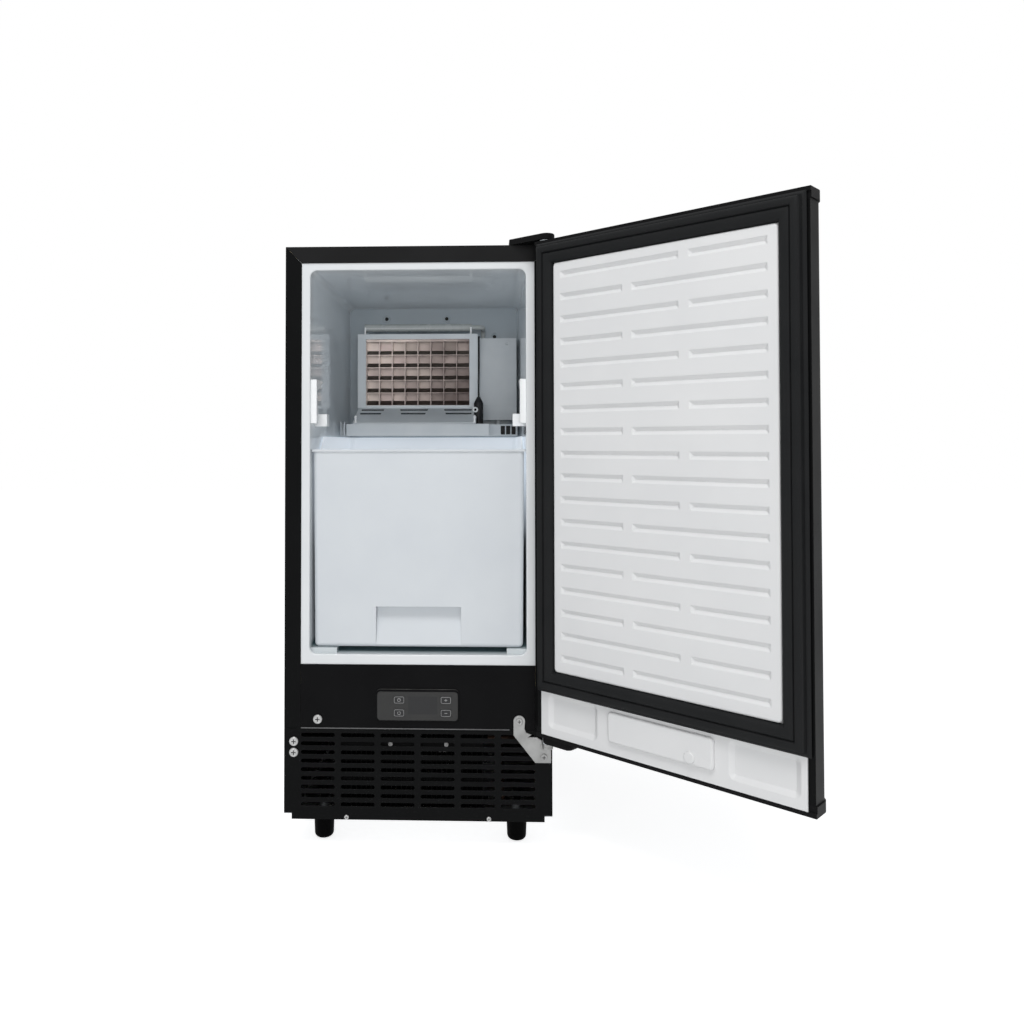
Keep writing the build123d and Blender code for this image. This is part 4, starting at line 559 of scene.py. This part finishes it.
def join_rings(shape, rings, closed):
    """Bands of faces from ring to ring. The last ring joins the first, or else both ends are capped."""
    following = rings[1:] + rings[:1] if closed else rings[1:]
    for first, second in zip(rings, following):
        loop_faces(shape, first, second)
    if not closed:
        shape.faces.new(rings[0])
        shape.faces.new(rings[-1])


def round_ring(shape, centre, across, upward, radius, steps):
    """Ring of vertices about a centre, in the plane of two directions."""
    ring = []
    for step in range(steps):
        angle = 2 * math.pi * step / steps
        reach = across * (radius * math.cos(angle)) + upward * (radius * math.sin(angle))
        ring.append(shape.verts.new(centre + reach))
    return ring


# Section of the gasket in millimetres: how far in from its outer edge, and how high above the door liner
GASKET_SECTION = (
    (-1.0, 0.0), (-1.2, 1.4), (0.2, 2.8), (1.8, 3.6), (3.2, 3.7), (4.0, 3.3), (4.5, 4.0), (4.6, 6.4),
    (4.6, 8.8), (5.2, 10.5), (6.6, 11.4), (8.6, 11.65), (11.2, 11.6), (12.8, 11.3), (13.7, 10.4),
    (14.1, 8.6), (14.5, 7.6), (15.1, 8.4), (15.8, 9.4), (17.4, 9.9), (20.0, 9.8), (22.8, 9.2),
    (25.2, 8.4), (27.0, 7.2), (28.3, 5.4), (28.9, 3.0), (29.0, 0.0),
)
GASKET_SPANS = 48
# The gasket's height sinks by a small share in a wave along each side, shifted from side to side
GASKET_UNEVEN = 0.018
GASKET_WAVE = 23.0
GASKET_SHIFT = 1.7


def gasket():
    """Black door gasket: a bulb with two flaps, mitred at its corners, a little uneven along its length."""
    shape = bmesh.new()
    loops = []
    for inward, height in GASKET_SECTION:
        wide = GASKET_OUTER - inward / 1000
        low, high = GASKET_LOW + inward / 1000, GASKET_HIGH - inward / 1000
        corners = ((-wide, low), (wide, low), (wide, high), (-wide, high))
        loop = []
        for side in range(4):
            (x0, z0), (x1, z1) = corners[side], corners[(side + 1) % 4]
            for step in range(GASKET_SPANS):
                share = step / GASKET_SPANS
                wave = math.sin(share * math.pi) * math.sin(share * GASKET_WAVE + side * GASKET_SHIFT)
                lift = height / 1000 * (1 - GASKET_UNEVEN * (1 + wave))
                x, z = x0 + (x1 - x0) * share, z0 + (z1 - z0) * share
                loop.append(shape.verts.new((x, DOOR_PLANE + lift, z)))
        loops.append(loop)
    join_rings(shape, loops, closed=True)
    bmesh.ops.transform(shape, matrix=door_place(), verts=shape.verts)
    piece = new_piece("gasket_bulb", shape, rubber_black, "door")
    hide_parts("door_gasket")


def rounded_outline(width, height, corner, steps=6):
    """Points of a rounded rectangle about the origin."""
    points = []
    for quarter, (sx, sz) in enumerate(((1, 1), (-1, 1), (-1, -1), (1, -1))):
        for step in range(steps + 1):
            angle = math.pi / 2 * (quarter + step / steps)
            points.append((sx * (width / 2 - corner) + corner * math.cos(angle),
                           sz * (height / 2 - corner) + corner * math.sin(angle)))
    return points


def raised_ring(shape, outer, inner, centre, face, proud):
    """Low raised band between two outlines of equal length, standing out from a face towards the front."""
    rings = []
    for outline, depth in ((outer, face), (outer, face - proud), (inner, face - proud), (inner, face)):
        rings.append([shape.verts.new((centre[0] + x, depth, centre[1] + z)) for x, z in outline])
    join_rings(shape, rings, closed=True)


def raised_patch(shape, outline, centre, face, proud):
    """Low raised patch inside an outline."""
    rings = []
    for depth in (face, face - proud):
        rings.append([shape.verts.new((centre[0] + x, depth, centre[1] + z)) for x, z in outline])
    join_rings(shape, rings, closed=False)


def bar(width, height):
    """Outline of a small bar with rounded ends."""
    return rounded_outline(width, height, min(width, height) * 0.3, 3)


def arc_band(radius, thick, start, end, steps=24):
    """Outline of a band along part of a circle, angles in degrees from the top."""
    outer, inner = [], []
    for step in range(steps + 1):
        angle = math.radians(start + (end - start) * step / steps)
        outer.append((math.sin(angle) * (radius + thick / 2), math.cos(angle) * (radius + thick / 2)))
        inner.append((math.sin(angle) * (radius - thick / 2), math.cos(angle) * (radius - thick / 2)))
    return outer + inner[::-1]


# Prints on the keys: size of the outline, its corner and its width, and how far the ink stands out
KEY_FRAME = (0.0141, 0.0093)
KEY_CORNER = 0.0022
KEY_LINE = 0.00055
INK = 0.00012
KEY_PLACES = {
    "key_timer": (-0.0260, LENS_MID + 0.0085),
    "key_power": (-0.0260, LENS_MID - 0.0097),
    "key_plus": (0.0403, LENS_MID + 0.0085),
    "key_minus": (0.0403, LENS_MID - 0.0097),
}
# Strokes of each sign, with their places from the key's centre
KEY_SIGNS = {
    "key_plus": [(bar(0.0040, 0.0008), (0, 0)), (bar(0.0008, 0.0016), (0, 0.0012)),
                 (bar(0.0008, 0.0016), (0, -0.0012))],
    "key_minus": [(bar(0.0040, 0.0008), (0, 0))],
    "key_power": [(arc_band(0.0021, 0.0006, 35, 325), (0, -0.0002)), (bar(0.0006, 0.0021), (0, 0.0016))],
    "key_timer": [(arc_band(0.0023, 0.0006, 2, 358), (0, 0)), (bar(0.0005, 0.0015), (0, 0.0007)),
                  (bar(0.0012, 0.0005), (0.0008, 0))],
}


def key_print(body):
    """Printed outline and sign of one key."""
    shape = bmesh.new()
    centre = KEY_PLACES[body]
    width, height = KEY_FRAME
    raised_ring(shape, rounded_outline(width, height, KEY_CORNER),
                rounded_outline(width - 2 * KEY_LINE, height - 2 * KEY_LINE, KEY_CORNER - KEY_LINE),
                centre, KEY_FACE, INK)
    for outline, (dx, dz) in KEY_SIGNS[body]:
        raised_patch(shape, outline, (centre[0] + dx, centre[1] + dz), KEY_FACE, INK)
    new_piece("print_" + body, shape, print_white, body)


# Bosses round the wall screws: place across and below the cavity's top, then radius and height of a boss
BOSS_PLACES = ((-0.0865, 0.0196), (0.0242, 0.0196), (0.1120, 0.0532))
BOSS_SECTION = ((0.0068, 0.0), (0.0062, 0.0007), (0.0052, 0.0009), (0.0034, 0.0009), (0.0034, 0.0))
BOSS_STEPS = 32


def wall_bosses():
    """Shallow round bosses on the cavity's back wall, round the three screws."""
    shape = bmesh.new()
    for x, drop in BOSS_PLACES:
        rings = []
        for radius, lift in BOSS_SECTION:
            centre = Vector((x, CAVITY_BACK - lift, CAVITY_TOP - drop))
            rings.append(round_ring(shape, centre, RIGHT, UP, radius, BOSS_STEPS))
        join_rings(shape, rings, closed=True)
    new_piece("wall_screw_bosses", shape, liner_white, "cabinet")


# Painted highlight on the fascia: a thin light-grey bead standing for light caught by the grille's top lip.
# Places along it with the share of its full radius, its radius and how it stands
BEAD_STATIONS = ((-0.1660, 0.6), (-0.1652, 1.0), (-0.06, 1.0), (0.04, 1.0), (0.1292, 1.0), (0.1300, 0.6))
BEAD_RADIUS = 0.0008
BEAD_FORE = 0.0002
BEAD_HEIGHT = GRILLE_TOP + 0.0010
BEAD_STEPS = 8


def fascia_highlight_bead():
    """Thin light-grey bead along the foot of the control fascia, above the grille: a painted highlight for
    light caught by the grille's top lip.
    """
    shape = bmesh.new()
    rings = []
    for x, size in BEAD_STATIONS:
        ring = []
        for step in range(BEAD_STEPS + 1):
            angle = math.pi * step / BEAD_STEPS
            ring.append(shape.verts.new((x, FRONT - BEAD_FORE - BEAD_RADIUS * size * math.sin(angle),
                                         BEAD_HEIGHT + BEAD_RADIUS * size * math.cos(angle))))
        rings.append(ring)
    join_rings(shape, rings, closed=False)
    new_piece("fascia_highlight_bead", shape, highlight_grey, "cabinet")


# Section of a peg in millimetres: radius, and height above the slide
PEG_SECTION = ((0.1, 0.0), (2.7, 0.0), (2.7, 1.4), (1.9, 2.4), (1.5, 4.6), (2.2, 7.6), (2.4, 9.8),
               (1.7, 11.8), (0.8, 12.6), (0.1, 12.8))
PEG_PLACES = ((-0.1230, 0.0010, 0.6100), (0.0774, 0.0010, 0.6100))
PEG_STEPS = 24
# Ring on the sensor: its centre, and the radii of the ring and of its wire
CLIP_PLACE = Vector((0.0784, 0.0236, 0.6326))
CLIP_RADIUS = 0.0034
CLIP_WIRE = 0.0013
CLIP_STEPS = 32
WIRE_STEPS = 12


def slide_pegs():
    """White pegs that the slide's front corners hang on."""
    shape = bmesh.new()
    for place in PEG_PLACES:
        rings = []
        for radius, height in PEG_SECTION:
            centre = Vector(place) + UP * (height / 1000)
            rings.append(round_ring(shape, centre, RIGHT, BACK, radius / 1000, PEG_STEPS))
        join_rings(shape, rings, closed=False)
    new_piece("slide_pegs", shape, keeper_white, "cabinet")


def sensor_clip():
    """White ring that clips on the front of the ice-level sensor."""
    shape = bmesh.new()
    rings = []
    for step in range(CLIP_STEPS):
        turn = 2 * math.pi * step / CLIP_STEPS
        outward = RIGHT * math.cos(turn) + UP * math.sin(turn)
        centre = CLIP_PLACE + outward * CLIP_RADIUS
        rings.append(round_ring(shape, centre, outward, BACK, CLIP_WIRE, WIRE_STEPS))
    join_rings(shape, rings, closed=True)
    new_piece("sensor_clip", shape, keeper_white, "cabinet")


gasket()
fascia_highlight_bead()
slide_pegs()
sensor_clip()
for key_body in KEY_PLACES:
    key_print(key_body)
wall_bosses()


# Studio

AMBIENT = (0.94, 0.97, 1.0, 1.0)
AMBIENT_STRENGTH = 0.36
BACKDROP = (1.0, 1.0, 1.0, 1.0)
FLOOR_GREY = (0.80, 0.80, 0.80, 1.0)
FLOOR_GLOW = 0.74
FLOOR_HALF = 9.0

# Camera fitted to the photograph: focal length and picture centre in pixels, then its place and directions
PICTURE = 1024
FOCAL = 864.33
CENTRE = (459.87, 424.24)
SENSOR = 36.0
CAMERA_PLACE = (0.10247, -1.44877, 0.57621)
CAMERA_RIGHT = Vector((0.999412, 0.034258, -0.001048))
CAMERA_UP = Vector((0.001781, -0.021391, 0.999770))
CAMERA_AHEAD = Vector((-0.034228, 0.999184, 0.021440))


def seen_directly(tree):
    """Share of rays that show the backdrop itself: those of the camera, reflections and glass."""
    path = add(tree, "ShaderNodeLightPath")
    seen = math_node(tree, "MAXIMUM", path.outputs["Is Camera Ray"], path.outputs["Is Glossy Ray"])
    return math_node(tree, "MAXIMUM", seen, path.outputs["Is Transmission Ray"])


def studio_world():
    """Soft even light all round, seen as a white backdrop."""
    world = bpy.data.worlds.new("studio")
    bpy.context.scene.world = world
    world.use_nodes = True
    tree = world.node_tree
    ambient = tree.nodes["Background"]
    ambient.inputs["Color"].default_value = AMBIENT
    ambient.inputs["Strength"].default_value = AMBIENT_STRENGTH
    backdrop = add(tree, "ShaderNodeBackground")
    backdrop.inputs["Color"].default_value = BACKDROP
    backdrop.inputs["Strength"].default_value = 1.0
    blend = add(tree, "ShaderNodeMixShader")
    tree.links.new(seen_directly(tree), blend.inputs[0])
    tree.links.new(ambient.outputs[0], blend.inputs[1])
    tree.links.new(backdrop.outputs[0], blend.inputs[2])
    tree.links.new(blend.outputs[0], tree.nodes["World Output"].inputs["Surface"])


def studio_floor():
    """Pale floor that keeps the shadow under the feet."""
    shape = bmesh.new()
    bmesh.ops.create_grid(shape, x_segments=1, y_segments=1, size=FLOOR_HALF)
    mesh = bpy.data.meshes.new("floor")
    shape.to_mesh(mesh)
    shape.free()
    floor = bpy.data.objects.new("floor", mesh)
    bpy.context.scene.collection.objects.link(floor)
    material, tree, shader = start_material("floor_paper")
    shader.inputs["Base Color"].default_value = FLOOR_GREY
    shader.inputs["Roughness"].default_value = 0.9
    shader.inputs["Specular IOR Level"].default_value = 0.0
    glow = add(tree, "ShaderNodeEmission")
    tree.links.new(math_node(tree, "MULTIPLY", seen_directly(tree), FLOOR_GLOW), glow.inputs["Strength"])
    both = add(tree, "ShaderNodeAddShader")
    tree.links.new(shader.outputs[0], both.inputs[0])
    tree.links.new(glow.outputs[0], both.inputs[1])
    tree.links.new(both.outputs[0], tree.nodes["Material Output"].inputs["Surface"])
    mesh.materials.append(material)


def soft_lamp(name, place, aim, size, power, mirrored=True):
    """Rectangular studio lamp that looks at a point; one that isn't mirrored leaves no reflections."""
    lamp = bpy.data.lights.new(name, "AREA")
    lamp.shape = "RECTANGLE"
    lamp.size, lamp.size_y = size
    lamp.energy = power
    holder = bpy.data.objects.new(name, lamp)
    holder.location = place
    holder.rotation_euler = (Vector(aim) - Vector(place)).to_track_quat("-Z", "Y").to_euler()
    holder.visible_glossy = mirrored
    bpy.context.scene.collection.objects.link(holder)


def studio_camera():
    """Camera at the photograph's viewing angle, with the picture's centre off its axis."""
    lens = bpy.data.cameras.new("view")
    lens.sensor_width = SENSOR
    lens.lens = FOCAL / PICTURE * SENSOR
    lens.shift_x = (PICTURE / 2 - CENTRE[0]) / PICTURE
    lens.shift_y = (CENTRE[1] - PICTURE / 2) / PICTURE
    camera = bpy.data.objects.new("view", lens)
    turn = Matrix((CAMERA_RIGHT, CAMERA_UP, -CAMERA_AHEAD)).transposed()
    camera.matrix_world = Matrix.Translation(CAMERA_PLACE) @ turn.to_4x4()
    bpy.context.scene.collection.objects.link(camera)
    bpy.context.scene.camera = camera


bpy.context.scene.view_settings.view_transform = "Standard"
studio_world()
studio_floor()
soft_lamp("key_light", (-0.3, -1.7, 2.9), (0.1, -0.25, 0.45), (1.6, 1.0), 38.0)
soft_lamp("front_light", (0.1, -2.6, 0.72), (0.05, 0.0, 0.55), (1.2, 0.5), 16.0, mirrored=False)
studio_camera()
